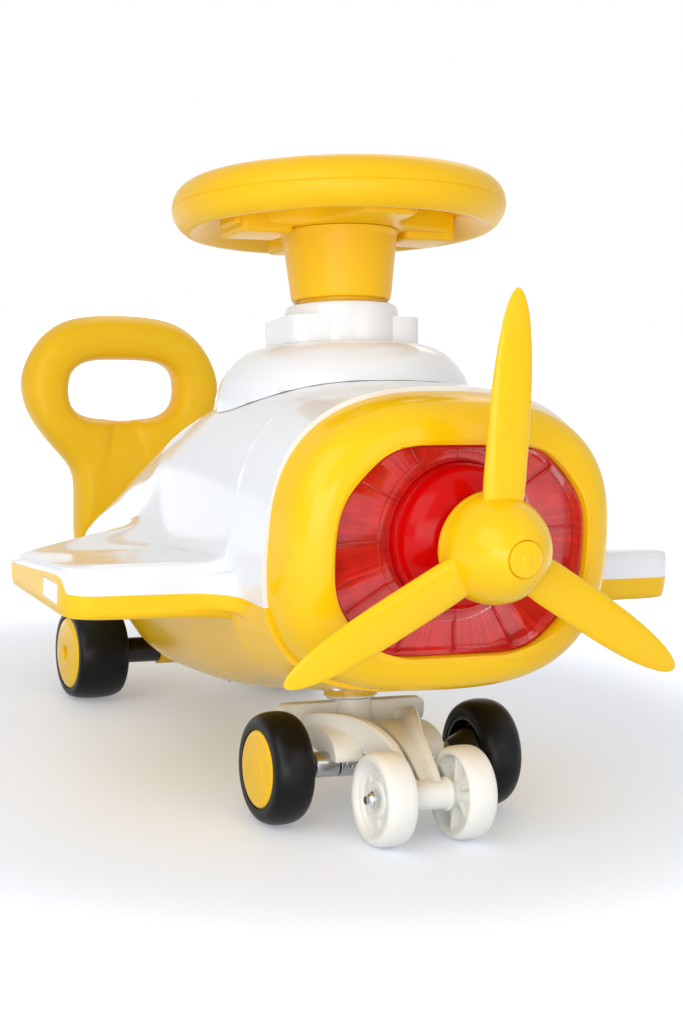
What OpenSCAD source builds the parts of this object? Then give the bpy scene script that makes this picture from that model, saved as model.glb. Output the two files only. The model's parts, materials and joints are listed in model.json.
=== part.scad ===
// Ride-on swing car in the shape of a small aeroplane, in millimetres.
// +X points to the nose, +Y to the rider's left and +Z up. The floor is z = 0 and the origin
// lies on the floor, half way between the nose plug and the back of the handle.

/* [Overall] */
// Length from the nose plug to the back of the handle
overall_length = 806; // [720:1:980]
// Width across the wing tips
wing_span = 486; // [400:1:590]
// Distance from the nose plug back to the front axle
nose_overhang = 183; // [170:1:200]
// Distance between the front and the rear axle
wheelbase = 375; // [310:1:450]

/* [Fuselage] */
// Half width of the fuselage behind the cowl
body_half_width = 129; // [118:1:146]
// Height of the underside below the nose cowl
nose_bottom = 107; // [102:1:112]
// Height of the top behind the nose cowl
nose_top = 318; // [300:1:330]
// Height of the seam between the white and the yellow shell
seam_height = 169; // [165:1:173]
// Wall of the moulded shells
wall = 3.5; // [2.5:0.1:4.5]

/* [Wings] */
// Height of the wing's upper face
wing_top = 190; // [186:1:194]
// Height of the wing's lower face
wing_bottom = 151; // [146:1:156]
// Chord of the wing at its tip
tip_chord = 132; // [110:1:160]
// Distance from the front axle forward to the leading edge
leading_edge = 6; // [0:1:14]

/* [Nose] */
// Height of the propeller's axis
prop_height = 220; // [214:1:224]
// Radius of the blade tips
prop_radius = 169; // [140:1:200]
// Radius of the spinner
spinner_radius = 36; // [32:1:42]
// Radius of the propeller's shaft
prop_shaft_radius = 5; // [4:0.5:6]
// Half width of the lens opening
lens_half_width = 95; // [86:1:98]
// Half height of the lens opening
lens_half_height = 71; // [64:1:76]

/* [Steering] */
// Backward tilt of the steering column in degrees
column_tilt = 10.5; // [8:0.5:12]
// Distance from the column's foot forward to the front axle
caster_offset = 42; // [36:1:46]
// Distance along the column from the floor to the centre of the rim
rim_distance = 440; // [425:1:470]
// Radius of the rim's centre line
rim_radius = 105; // [90:1:126]
// Radius of the rim's tube
rim_tube = 20; // [17:0.5:22]
// Radius of the steering shaft
shaft_radius = 7; // [6:0.5:8]

/* [Wheels] */
// Radius of the road wheels
wheel_radius = 40; // [36:1:42]
// Width of a front tyre
front_tyre_width = 30; // [26:1:34]
// Half track of the front wheels
front_track = 83; // [80:1:90]
// Width of a rear tyre
rear_tyre_width = 44; // [38:1:48]
// Half track of the rear wheels
rear_track = 94; // [92:1:100]
// Radius of the steel axles
axle_radius = 5; // [4:0.5:6]
// Radius of the small front rollers
roller_radius = 33; // [28:1:36]
// Width of a small front roller
roller_width = 23; // [20:1:26]
// Half track of the small front rollers
roller_track = 31; // [29:1:35]
// Distance from the front axle forward to the roller axle
roller_offset = 67; // [60:1:72]
// Radius of the roller bolt
bolt_radius = 3; // [2.5:0.5:4]

/* [Handle] */
// Half width of the handle loop
handle_half_width = 102; // [86:1:122]
// Height of the top of the handle loop
handle_top = 320; // [290:1:350]
// Thickness of the handle loop from front to back
handle_depth = 46; // [38:1:54]

/* [Fits] */
// Radial gap of a turning fit
running_gap = 0.05; // [0.03:0.01:0.09]
// Gap between pieces that move past each other
side_gap = 0.5; // [0.3:0.1:0.8]

/* [Hidden] */
$fn = 48;

x_nose = overall_length / 2;
x_tail = -overall_length / 2;
x_front = x_nose - nose_overhang;
x_rear = x_front - wheelbase;
x_foot = x_front - caster_offset;
x_roller = x_front + roller_offset;

yellow = "#f6c21c";
satin_yellow = "#f2b021";
white = "#f4f4f2";
ivory = "#efe9d8";
rubber_black = "#1d1d1f";
steel = "#b9bcc0";
lamp_red = "#c8101c";

// Small helpers
function mix(a, b, t) = a + (b - a) * t;
function sgn_pow(v, p) = sign(v) * pow(abs(v), p);
function arc(cx, cy, r, a0, a1, n) =
    [for (i = [0:n]) let (a = mix(a0, a1, i / n)) [cx + r * cos(a), cy + r * sin(a)]];

module along_y(x, z, y0) {
    translate([x, y0, z])
        rotate([-90, 0, 0])
            children();
}

module along_x(x, y, z) {
    translate([x, y, z])
        rotate([0, 90, 0])
            children();
}

module on_column() {
    translate([x_foot, 0, 0])
        rotate([0, -column_tilt, 0])
            children();
}

module both_sides() {
    children();
    mirror([0, 1, 0]) children();
}

// Two triangles between four corners
function quad(a, b, c, d) = [[a, b, c], [a, c, d]];

// A closed grid of points as a solid: rings[k][i], with end caps or with the last ring joined to the first.
// Each ring has an even number of points and runs clockwise, seen from the rings after it.
module skin(rings, looped = false) {
    m = len(rings);
    n = len(rings[0]);
    half = floor(n / 2);
    last = (m - 1) * n;
    spans = looped ? m : m - 1;
    sides = [
        for (k = [0:spans - 1], i = [0:n - 1])
            let (j = (i + 1) % n, up = ((k + 1) % m) * n)
            each quad(k * n + i, k * n + j, up + j, up + i)
    ];
    caps = looped ? [] : [
        for (i = [0:half - 2]) each concat(
            quad(n - 1 - i, n - 2 - i, i + 1, i),
            quad(last + i, last + i + 1, last + n - 2 - i, last + n - 1 - i)
        )
    ];
    polyhedron([for (ring = rings) each ring], concat(sides, caps));
}

// Fuselage
x_cowl_back = x_front + 61;
x_body_end = x_tail + handle_depth + 21;
x_shoulder = x_front - 110;

// One row for each station: place along X, half width, underside, middle, top, seam, squareness below and above
stations = [
    [x_body_end, 42, 88, 108, 128, 108, 2.2, 3.1],
    [mix(x_rear, x_body_end, 0.75), 60, 76, 112, 137, 112, 2.4, 2.9],
    [mix(x_rear, x_body_end, 0.4), 74, 62, 126, 163, 126, 2.8, 2.9],
    [x_rear, 82, 53, 150, 195, 148, 3, 2.9],
    [mix(x_shoulder, x_rear, 0.66), 99, 50, 166, 238, seam_height - 3, 3.6, 2.9],
    [mix(x_shoulder, x_rear, 0.33), 112, 56, 180, 277, seam_height, 3.4, 2.9],
    [x_shoulder, 122, 68, 194, nose_top - 16, seam_height, 3.2, 2.9],
    [x_front - 40, body_half_width - 2, 83, 202, nose_top - 6, seam_height, 3, 2.85],
    [x_front + 20, body_half_width, 96, 208, nose_top - 1, seam_height, 3, 2.7],
    [x_cowl_back, body_half_width, nose_bottom, 212, nose_top, seam_height, 3, 2.6],
];
last_station = len(stations) - 1;

function segment(x, i = 0) = i >= last_station - 1 || x < stations[i + 1][0] ? i : segment(x, i + 1);
function slope(i, c) = i <= 0 || i >= last_station
    ? let (j = min(max(i, 0), last_station - 1))
        (stations[j + 1][c] - stations[j][c]) / (stations[j + 1][0] - stations[j][0])
    : (stations[i + 1][c] - stations[i - 1][c]) / (stations[i + 1][0] - stations[i - 1][0]);
function station(x, c) =
    let (
        i = segment(x),
        h = stations[i + 1][0] - stations[i][0],
        t = (x - stations[i][0]) / h
    )
    (1 + 2 * t) * (1 - t) * (1 - t) * stations[i][c]
        + t * (1 - t) * (1 - t) * h * slope(i, c)
        + t * t * (3 - 2 * t) * stations[i + 1][c]
        + t * t * (t - 1) * h * slope(i + 1, c);

// A point of the fuselage's outline at x, for an angle from the side (0) to the top (90) or bottom (-90)
function body_point(x, angle, inset) =
    let (
        w = station(x, 1) - inset,
        mid = station(x, 3),
        up = station(x, 4) - inset - mid,
        down = mid - station(x, 2) - inset,
        power = station(x, angle >= 0 ? 7 : 6)
    )
    [w * sgn_pow(cos(angle), 2 / power), mid + (angle >= 0 ? up : down) * sgn_pow(sin(angle), 2 / power)];

// The angle at which the outline passes a height
function body_angle(x, z, inset) =
    let (
        mid = station(x, 3),
        up = station(x, 4) - inset - mid,
        down = mid - station(x, 2) - inset,
        above = z >= mid,
        s = min(1, abs(z - mid) / (above ? up : down)),
        power = station(x, above ? 7 : 6)
    )
    (above ? 1 : -1) * asin(pow(s, power / 2));

// Wings
half_span = wing_span / 2;
x_leading = x_front + leading_edge;
x_tip_rear = x_leading - tip_chord;
x_root_rear = x_tip_rear - 118;
tip_corner = 22;
wing_edge = 8;
root_fillet = 14;
front_fillet = 28;

// How far the outline at x is that of the wing (1) or of the fuselage alone (0)
function wing_share(x) =
    let (t = min(1, max(0, min((x - x_root_rear) / 60, (x_leading + front_fillet - x) / (front_fillet - 4)))))
    t * t * (3 - 2 * t);

// Half span of the wing's plan at x, less an inset, or 0 where there is no wing
function plan(x, inset) =
    let (front = x_leading - inset, tip = half_span - inset, back = x_root_rear + inset * 1.5)
    x > front + front_fillet || x < back ? 0
    : x > front ? station(x, 1) - inset + front_fillet - sqrt(pow(front_fillet, 2) - pow(front + front_fillet - x, 2))
    : x > front - tip_corner ? tip - tip_corner + sqrt(max(0, pow(tip_corner, 2) - pow(x - front + tip_corner, 2)))
    : x > x_tip_rear ? tip
    : mix(station(x, 1) - inset, tip, pow((x - back) / (x_tip_rear - back), 0.95));

function edge_drop(x, inset) =
    let (d = x_leading - inset - x)
    d >= wing_edge ? 0 : wing_edge - sqrt(max(0, pow(wing_edge, 2) - pow(wing_edge - d, 2)));

wing_slope = 0.115;
tip_lip = 11;
// The seam rises towards the front of the wing tips and drops to the leading edge in a step
function seam_at(x) =
    let (
        front = min(1, max(0, (x_leading - 11 - x) / 9)),
        back = min(1, max(0, (x - x_tip_rear - 4) / (tip_chord - 26)))
    )
    station(x, 5) + tip_lip * back * (3 * pow(front, 2) - 2 * pow(front, 3));

function wing_upper(x, inset) =
    max(wing_top - wing_slope * (x_leading - x), seam_at(x) + 6) - inset - edge_drop(x, inset);
function wing_lower(x, inset) = wing_bottom + inset + edge_drop(x, inset) * 0.7;

// One side of the upper outline at x, from the seam at the wing tip to the top
function upper_half(x, inset, count) =
    let (
        seam = station(x, 5),
        b = plan(x, inset),
        zt = wing_upper(x, inset),
        a1 = min(50, body_angle(x, max(zt, seam + 2) + root_fillet, inset)),
        a0 = body_angle(x, seam, inset),
        root = body_point(x, a1, inset)[0],
        reach = max(0, b - root),
        f = min(root_fillet, reach * 0.5),
        r = min(wing_edge, (zt - seam_at(x)) * 0.6, reach * 0.3),
        side = [for (i = [0:6]) body_point(x, mix(a0, a1, i / 7), inset)],
        wing = [
            [b, seam_at(x)],
            [b, zt - r],
            [b - r * 0.3, zt - r * 0.3],
            [b - r, zt],
            [mix(b - r, root + f, 0.5), zt + 0.6],
            [root + f, zt + 0.4],
            [root + f * 0.3, zt + f * 0.3]
        ]
    )
    concat(
        b > 0 ? blend(side, wing, wing_share(x)) : side,
        [for (i = [0:count]) body_point(x, mix(a1, 90, pow(i / count, 0.8)), inset)]
    );

// One side of the lower outline at x, from the seam at the wing tip to the keel
function lower_half(x, inset, count) =
    let (
        seam = station(x, 5),
        b = plan(x, inset),
        zb = wing_lower(x, inset),
        a1 = body_angle(x, min(zb, seam - 2) - root_fillet * 0.6, inset),
        a0 = body_angle(x, seam, inset),
        root = body_point(x, a1, inset)[0],
        reach = max(0, b - root),
        f = min(root_fillet, reach * 0.5),
        r = min(wing_edge * 0.7, (seam - zb) * 0.6, reach * 0.3),
        side = [for (i = [0:5]) body_point(x, mix(a0, a1, i / 6), inset)],
        wing = [
            [b, seam_at(x)],
            [b - r * 0.1, zb + r],
            [b - r * 0.4, zb + r * 0.3],
            [b - r - reach * 0.01, zb],
            [root + f, zb],
            [root + f * 0.2, zb - f * 0.2]
        ]
    )
    concat(
        b > 0 ? blend(side, wing, wing_share(x)) : side,
        [for (i = [0:count]) body_point(x, mix(a1, -90, pow(i / count, 0.85)), inset)]
    );

function blend(a, b, t) = [for (i = [0:len(a) - 1]) mix(a[i], b[i], t)];
function flip(points) = [for (p = points) [-p[0], p[1]]];
function reversed(points) = [for (i = [len(points) - 1:-1:0]) points[i]];
function without_last(points) = [for (i = [0:len(points) - 2]) points[i]];
function at_x(x, points) = [for (p = points) [x, p[0], p[1]]];

// The thick strip between the outer and the inner outline
function strip(x, outer, inner) =
    at_x(x, concat(without_last(outer), reversed(flip(outer)), flip(without_last(inner)), reversed(inner)));

edge_steps = [0.01, 1, 3.5, 8, 14, 22];
ring_x = concat(
    [for (i = [0:4]) mix(x_body_end, x_rear, i / 5)],
    [for (i = [0:2]) mix(x_rear, x_root_rear, i / 3)],
    [for (t = [0, 0.1, 0.2, 0.34, 0.5, 0.75]) mix(x_root_rear + 0.01, x_tip_rear, t)],
    [for (i = [0:3]) mix(x_tip_rear, x_leading - 22 - wall, i / 4)],
    [for (i = [5:-1:0]) x_leading - wall - edge_steps[i]],
    [x_leading - 3, x_leading - 1, x_leading - 0.01, x_leading + 0.01],
    [for (d = [3, 7, 13, 20, front_fillet + 0.01, 0.5 * (x_cowl_back - x_leading + front_fillet), x_cowl_back - x_leading]) x_leading + d]
);

module shaft_bore(radius, from, to) {
    on_column()
        translate([0, 0, from])
            cylinder(r = radius, h = to - from);
}

bush_radius = 13;
bush_boss = 20;
lower_seat = 76;
lower_boss_height = 34;
axle_housing_radius = 13;
axle_housing_half = 34;
handle_screw_height = 110;

module upper_shell() {
    color(white)
        difference() {
            skin([for (x = ring_x) strip(x, flip(upper_half(x, 0, 8)), flip(upper_half(x, wall, 8)))]);
            shaft_bore(cover_hole, 230, 340);
        }
}

module lower_shell() {
    color(yellow)
        difference() {
            union() {
                skin([for (x = ring_x) strip(x, lower_half(x, 0, 8), lower_half(x, wall, 8))]);
                shaft_bore(bush_boss, lower_seat, lower_seat + lower_boss_height);
                along_y(x_rear, wheel_radius, -axle_housing_half)
                    cylinder(r = axle_housing_radius, h = 2 * axle_housing_half);
                translate([x_rear - axle_housing_radius, -axle_housing_half, wheel_radius])
                    cube([2 * axle_housing_radius, 2 * axle_housing_half, 24]);
                translate([x_body_end + 0.2, -32, 90]) cube([14, 64, 30]);
                screw_places() translate([0, 0, screw_floor]) cylinder(r = 7, h = 8);
            }
            shaft_bore(bush_radius, lower_seat - 20, lower_seat + lower_boss_height + 1);
            along_y(x_rear, wheel_radius, -axle_housing_half - 1)
                cylinder(r = axle_radius, h = 2 * axle_housing_half + 2);
            both_sides() marker_pocket(0);
            handle_screw_places() cylinder(r = screw_shank, h = 60);
            cowl_screw_places() {
                translate([0, 0, -8]) cylinder(r = screw_head + 0.2, h = 8.1);
                cylinder(r = screw_shank, h = 20);
            }
            screw_places() {
                translate([0, 0, screw_floor - 12]) cylinder(r = screw_head + 0.3, h = 12);
                cylinder(r = screw_shank, h = 20);
            }
        }
}

// White markers let into the wing tips
marker_length = 30;
marker_height = 14;
marker_depth = 1.6;
marker_front = 24;

module marker_pocket(gap) {
    translate([
        x_leading - marker_front - marker_length + gap,
        half_span - marker_depth,
        seam_height + 4.5 - marker_height + gap
    ])
        cube([marker_length - 2 * gap, 2 * marker_depth, marker_height - 2 * gap]);
}

module wing_markers() {
    color(white)
        both_sides()
            intersection() {
                marker_pocket(0.1);
                translate([x_tail, 0, 0]) cube([overall_length, half_span + 0.4, overall_length]);
            }
}

// Screws from below that hold the two shells together
screw_shank = 1.8;
screw_head = 3.8;
screw_floor = 2.6;
screw_rows = [[x_front + 42, 60], [x_shoulder - 30, 64], [mix(x_shoulder, x_rear, 0.6), 56]];

module screw_places() {
    for (place = screw_rows)
        both_sides()
            translate([place[0], place[1], keel_at(place[0], place[1])])
                children();
}

// Height of the underside at a place
function keel_at(x, y) =
    let (w = station(x, 1), mid = station(x, 3), down = mid - station(x, 2), power = station(x, 6))
    mid - down * pow(1 - pow(y / w, power), 1 / power);

// Screws that hold the cowl in the lower shell, sunk into its underside
module cowl_screw_places() {
    both_sides()
        translate([x_cowl_back - 5.5, 84, keel_at(x_cowl_back - 5.5, 84) + 1.4])
            children();
}

module cowl_screws() {
    color(steel)
        cowl_screw_places() {
            translate([0, 0, -2.2]) cylinder(r = screw_head, h = 2.2);
            translate([0, 0, -1]) cylinder(r = screw_shank - 0.1, h = 9);
        }
}

module shell_screws() {
    color(steel)
        screw_places() {
            translate([0, 0, screw_floor - 2.45]) cylinder(r = screw_head, h = 2.4);
            translate([0, 0, screw_floor - 0.1]) cylinder(r = screw_shank - 0.1, h = 10);
        }
}

// Nose cowl: a rounded square ring around the lens
cowl_gap = 1.5;
cowl_depth = 42;
cowl_lip = 26;
cowl_tuck = 10;
x_cowl_front = x_cowl_back + cowl_depth;
x_lens = x_cowl_front - 10.8;
cowl_steps = 48;

function cowl_outline(angle, inset) = body_point(x_cowl_back - 0.01, angle, inset);

// Outline of the lens opening: a square with its corners cut off and rounded
function opening(angle, inset) =
    let (
        a = lens_half_width - inset,
        b = lens_half_height - inset,
        c = cos(angle),
        s = sin(angle),
        side = pow(pow(abs(c) / a, 16) + pow(abs(s) / b, 16), -1 / 16),
        corner = (a + b - 38) / (abs(c) + abs(s)),
        r = pow(pow(side, -16) + pow(corner, -16), -1 / 16)
    )
    [r * c, lens_middle + r * s];

lens_middle = 211;

module nose_cowl() {
    lip = [for (i = [0:5]) let (a = 90 * i / 5) [1.5 + cowl_lip * (1 - cos(a)), cowl_lip * sin(a)]];
    rim = [[wall + cowl_gap, -cowl_tuck], [wall + cowl_gap, 0.3], [cowl_step, 0.3]];
    reveal = [
        [-4, 0], [-1, -1], [0, -4], [0, -10], [-4.2, -10.5], [-4.2, -34], [-7.4, -34], [-7.4, -12], [-10, -4]
    ];
    inside = [[cowl_lip, -3.2], [cowl_lip * 0.45, -7], [4, -cowl_lip], [4, -cowl_depth - cowl_tuck]];
    color(yellow)
        difference() {
            skin(
                concat(
                    [for (p = rim) cowl_ring(p[0], x_cowl_back + p[1])],
                    [for (p = lip) cowl_ring(cowl_step + p[0], x_cowl_front - cowl_lip + p[1])],
                    [for (p = reveal) opening_ring(p[0], x_cowl_front + p[1])],
                    [for (p = inside) cowl_ring(wall + cowl_gap + p[0], x_cowl_front + p[1])]
                ),
                looped = true
            );
            cowl_screw_places() cylinder(r = screw_shank, h = 20);
        }
}

cowl_step = 3.5;
function cowl_ring(inset, x) =
    [for (i = [0:cowl_steps - 1]) let (p = cowl_outline(360 * i / cowl_steps, inset)) [x, -p[0], p[1]]];
function opening_ring(inset, x) =
    [for (i = [0:cowl_steps - 1]) let (p = opening(360 * i / cowl_steps, inset)) [x, -p[0], p[1]]];

// Lens, its reflector and the red dome around the propeller's shaft
lens_edge = 3.9;
lens_thickness = 3;
dome_radius = 50;

module lens_plate(thickness, x, grow, hole) {
    translate([x, 0, 0])
        rotate([90, 0, 90])
            linear_extrude(thickness)
                difference() {
                    polygon([for (i = [0:cowl_steps - 1]) opening(360 * i / cowl_steps, -grow)]);
                    translate([0, prop_height]) circle(r = hole);
                }
}

module lens() {
    color(lamp_red) {
        lens_plate(lens_thickness, x_lens - lens_thickness, lens_edge, dome_radius + 0.3);
        intersection() {
            lens_plate(lens_thickness + 4, x_lens - lens_thickness - 4, 0, dome_radius + 0.3);
            along_x(x_lens - lens_thickness - 3, 0, prop_height)
                union() {
                    for (i = [0:11])
                        rotate(30 * i + 15) translate([0, -0.8, 0]) cube([140, 1.6, 3.5]);
                    difference() {
                        cylinder(r = 82.8, h = 3.5);
                        translate([0, 0, -1]) cylinder(r = 81.2, h = 6);
                    }
                }
        }
    }
}

module reflector() {
    color(white) {
        lens_plate(2, x_lens - lens_thickness - 16, lens_edge, prop_shaft_radius + 0.1);
        along_x(x_lens - lens_thickness - 14.2, 0, prop_height)
            difference() {
                cylinder(r = dome_radius - 1, h = 12);
                translate([0, 0, -1]) cylinder(r = dome_radius - 4, h = 14);
            }
    }
}

dome_height = 34;

module hub_dome() {
    color(lamp_red)
        along_x(x_lens - lens_thickness - 2, 0, prop_height)
            rotate_extrude()
                polygon(concat(
                    [[prop_shaft_radius + 0.1, dome_height], [prop_shaft_radius + 0.1, 4], [prop_shaft_radius + 4, 4]],
                    [[prop_shaft_radius + 4, dome_height - 3], [dome_radius - 13, dome_height - 4]],
                    [[dome_radius - 3.5, 6], [dome_radius - 4, 0], [dome_radius, 0], [dome_radius, 4]],
                    arc(dome_radius - 11, dome_height - 9, 9, 0, 90, 6)
                ));
}

// Propeller
x_prop = x_nose - 47;
spinner_depth = 46;

module prop_shaft() {
    color(steel)
        along_x(x_lens - 24, 0, prop_height) {
            difference() {
                cylinder(r = prop_shaft_radius, h = x_prop + 22.6 - x_lens + 24);
                translate([0, 0, x_prop + 12 - x_lens + 24]) cylinder(r = screw_shank, h = 12);
            }
            cylinder(r = prop_shaft_radius + 5, h = 4.7);
        }
}

// A blade's section at a radius: a thin lens shape, twisted less and less towards the tip
module blade() {
    root = spinner_radius - 14;
    skin([
        for (t = [0, 0.14, 0.28, 0.42, 0.56, 0.7, 0.82, 0.9, 0.95, 0.98, 1])
            let (
                r = mix(root, prop_radius, t),
                end = sqrt(1 - pow(max(0, t - 0.88) / 0.125, 2)),
                chord = blade_width(t) * end,
                thick = mix(13, 6, t) * end,
                twist = mix(30, 14, t)
            )
            [for (i = [0:13])
                let (a = 360 * i / 14, u = chord / 2 * cos(a), v = thick / 2 * sin(a) + chord * 0.05 * cos(a) * cos(a))
                [v * cos(twist) - u * sin(twist), u * cos(twist) + v * sin(twist), r]]
    ]);
}

function blade_width(t) =
    t < 0.4 ? mix(26, 32, sin(t / 0.4 * 90)) : mix(32, 17, pow((t - 0.4) / 0.6, 1.5));

blade_phase = -0.5;

module propeller() {
    color(yellow)
        difference() {
            union() {
                along_x(x_prop, 0, prop_height)
                    rotate_extrude()
                        polygon(concat(
                            [[0, 0], [spinner_radius, 0]],
                            [for (i = [1:10]) let (a = 9 * i) [spinner_radius * cos(a), spinner_depth * sin(a)]]
                        ));
                for (i = [0:2])
                    translate([x_prop + 9, 0, prop_height])
                        rotate([blade_phase + 120 * i, 0, 0])
                            blade();
            }
            along_x(x_prop - 1, 0, prop_height) {
                cylinder(r = prop_shaft_radius + running_gap, h = spinner_depth + 2);
                translate([0, 0, 23]) cylinder(r = plug_radius + 0.2, h = spinner_depth);
            }
        }
}

module propeller_ring() {
    color(yellow)
        along_x(x_prop - 7, 0, prop_height)
            rotate_extrude()
                polygon([
                    [prop_shaft_radius + running_gap, 0], [spinner_radius - 3, 0], [spinner_radius, 2],
                    [spinner_radius, 6.9], [prop_shaft_radius + running_gap, 6.9]
                ]);
}

plug_radius = 12;

module nose_plug() {
    color(yellow)
        along_x(x_prop + 28, 0, prop_height)
            rotate_extrude()
                polygon(concat(
                    [[0, 0], [plug_radius, 0]],
                    [[plug_radius, x_nose - x_prop - 30], [plug_radius - 1.2, x_nose - x_prop - 28.6], [0, x_nose - x_prop - 28]]
                ));
}

module propeller_screw() {
    color(steel)
        along_x(x_prop + 22.7, 0, prop_height)
            difference() {
                union() {
                    cylinder(r = 8, h = 4);
                    translate([0, 0, -9]) cylinder(r = screw_shank - 0.1, h = 10);
                }
                translate([-5, -0.8, 2.6]) cube([10, 1.6, 2]);
                translate([-0.8, -5, 2.6]) cube([1.6, 10, 2]);
            }
}

// Cover over the steering column
cover_hole = 32;
cover_base = 96.5;
cover_top = 367;

// From the rim of the cover up to its shoulder: distance in from the rim and height
cover_shoulder = [[0.7, 298], [2.5, 305], [5.5, 312], [10, 319], [16, 326], [24, 331.5], [36, 335.5]];

module cover_outer() {
    rotate_extrude()
        polygon(concat(
            [[0, 262], [cover_base, 262], [cover_base, 292]],
            [for (p = cover_shoulder) [cover_base - p[0], p[1]]],
            [[42.5, 336], [42.5, cover_top - 5], [41, cover_top - 1.5], [37.5, cover_top], [0, cover_top]]
        ));
}

module cover_ears() {
    translate([0, 0, 333])
        linear_extrude(23)
            polygon([
                for (corner = [[1, 1], [-1, 1], [-1, -1], [1, -1]], i = [0:6])
                    let (
                        start = corner == [1, 1] ? 0 : corner == [-1, 1] ? 90 : corner == [-1, -1] ? 180 : 270,
                        a = start + 15 * i
                    )
                    [corner[0] * 19 + 15 * cos(a), corner[1] * 38 + 15 * sin(a)]
            ]);
}

module column_cover() {
    color(white)
        difference() {
            on_column()
                difference() {
                    union() {
                        cover_outer();
                        cover_ears();
                    }
                    rotate_extrude()
                        polygon([
                            [0, 250], [cover_base - 4, 250], [cover_base - 4, 292], [cover_base - 9, 308],
                            [cover_base - 20, 322], [32, 331], [32, 342], [bush_radius, 342],
                            [bush_radius, 380], [0, 380]
                        ]);
                }
            skin([for (x = cover_rings) at_x(x, flip(cover_loop(x)))]);
        }
}

cover_rings = [for (i = [0:18]) mix(x_shoulder - 104, x_cowl_back, i / 18)];
function cover_loop(x) =
    let (half = [for (i = [0:11]) body_point(x, i * 7.6, -0.7)])
    concat([[half[0][0], 150]], half, reversed(flip(half)), [[-half[0][0], 150]]);

module upper_bush() {
    color(ivory)
        on_column()
            rotate_extrude()
                polygon([
                    [shaft_radius + running_gap, 342], [bush_radius - 0.1, 342], [bush_radius - 0.1, cover_top],
                    [19, cover_top], [19, cover_top + 1.6], [shaft_radius + running_gap, cover_top + 1.6]
                ]);
}

module lower_bush() {
    color(ivory)
        on_column()
            rotate_extrude()
                polygon([
                    [shaft_radius + running_gap, lower_seat - 2], [18, lower_seat - 2], [18, lower_seat],
                    [bush_radius - 0.1, lower_seat], [bush_radius - 0.1, lower_seat + lower_boss_height],
                    [shaft_radius + running_gap, lower_seat + lower_boss_height]
                ]);
}

// Handle behind the seat
handle_steps = 44;
handle_lean = 0.12;
handle_foot = 88;
handle_middle = 248;
hole_half_width = 54;
hole_half_height = 28;
x_handle = x_tail + handle_depth / 2;
function handle_middle_at(z) = x_handle + handle_lean * (handle_top - 12 - z);

// Right half of the handle's outline, from the top down to the foot
handle_points = [
    [0, handle_top], [46, handle_top - 3], [handle_half_width - 22, handle_top - 22],
    [handle_half_width - 1, handle_top - 62], [handle_half_width - 10, handle_top - 100],
    [66, 188], [50, 168], [47, 140], [48, handle_foot + 18], [42, handle_foot + 2], [20, handle_foot], [0, handle_foot]
];

function spline_at(points, i, t) =
    let (
        n = len(points) - 1,
        p0 = points[max(i - 1, 0)],
        p1 = points[i],
        p2 = points[min(i + 1, n)],
        p3 = points[min(i + 2, n)]
    )
    0.5 * (2 * p1 + (p2 - p0) * t + (2 * p0 - 5 * p1 + 4 * p2 - p3) * t * t + (3 * p1 - p0 - 3 * p2 + p3) * t * t * t);
function spline(points, per) =
    concat([for (i = [0:len(points) - 2], k = [0:per - 1]) spline_at(points, i, k / per)], [points[len(points) - 1]]);

handle_half_outline = spline(handle_points, 2);
handle_outline = concat(handle_half_outline, [
    for (i = [len(handle_half_outline) - 2:-1:1]) [-handle_half_outline[i][0], handle_half_outline[i][1]]
]);

// The point of the hole's edge that faces a point of the outline
function hole_point(p) =
    let (a = atan2(p[1] - handle_middle, p[0]), c = cos(a), s = sin(a),
        r = pow(pow(abs(c) / hole_half_width, 3.6) + pow(abs(s) / hole_half_height, 3.6), -1 / 3.6))
    [r * c, handle_middle + r * s];

// Across the loop from the outline (0) to the hole (1), with the depth at that place
handle_section = [
    [0, 0], [0.05, 0.5], [0.16, 0.86], [0.36, 1], [0.64, 1], [0.84, 0.84], [0.96, 0.46], [1, 0],
    [0.96, -0.46], [0.84, -0.84], [0.64, -1], [0.36, -1], [0.16, -0.86], [0.05, -0.5]
];

function handle_point(p, across) =
    let (q = hole_point(p), y = mix(p[0], q[0], across[0]), z = mix(p[1], q[1], across[0]))
    [handle_middle_at(z) + across[1] * handle_depth / 2, y, z];

module handle() {
    color(satin_yellow)
        difference() {
            skin([for (across = handle_section) [for (p = handle_outline) handle_point(p, across)]], looped = true);
            handle_screw_places() {
                cylinder(r = screw_shank + 0.1, h = 2 * handle_depth, center = true);
                translate([0, 0, -9.7 - handle_depth]) cylinder(r = screw_head + 0.5, h = handle_depth);
            }
        }
}

module handle_screw_places() {
    for (y = [-24, 24])
        along_x(handle_middle_at(handle_screw_height), y, handle_screw_height) children();
}

module handle_screws() {
    color(steel)
        handle_screw_places() {
            translate([0, 0, -12.2]) cylinder(r = screw_head, h = 2.4);
            translate([0, 0, -10]) cylinder(r = screw_shank - 0.1, h = 40);
        }
}

// Steering wheel
module tube_half(from) {
    rotate_extrude()
        translate([rim_radius, rim_distance])
            polygon(concat(
                arc(0, 0, rim_tube, from, from + 180, 20),
                arc(0, 0, rim_tube - 3, from + 180, from, 20)
            ));
}

spoke_half_width = 22;
hub_plate = 50;
spoke_bottom = rim_distance - 18;
spoke_top = rim_distance;

module spokes(from, to, half_width, inset) {
    for (i = [0:3])
        rotate(90 * i)
            translate([hub_plate - 8 + inset, -half_width, from])
                cube([rim_wall - 1 - hub_plate + 8 - 2 * inset, 2 * half_width, to - from]);
}

// Inner wall of the rim's lower half, where the spokes end
rim_wall = rim_radius - rim_tube + 2;

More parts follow.
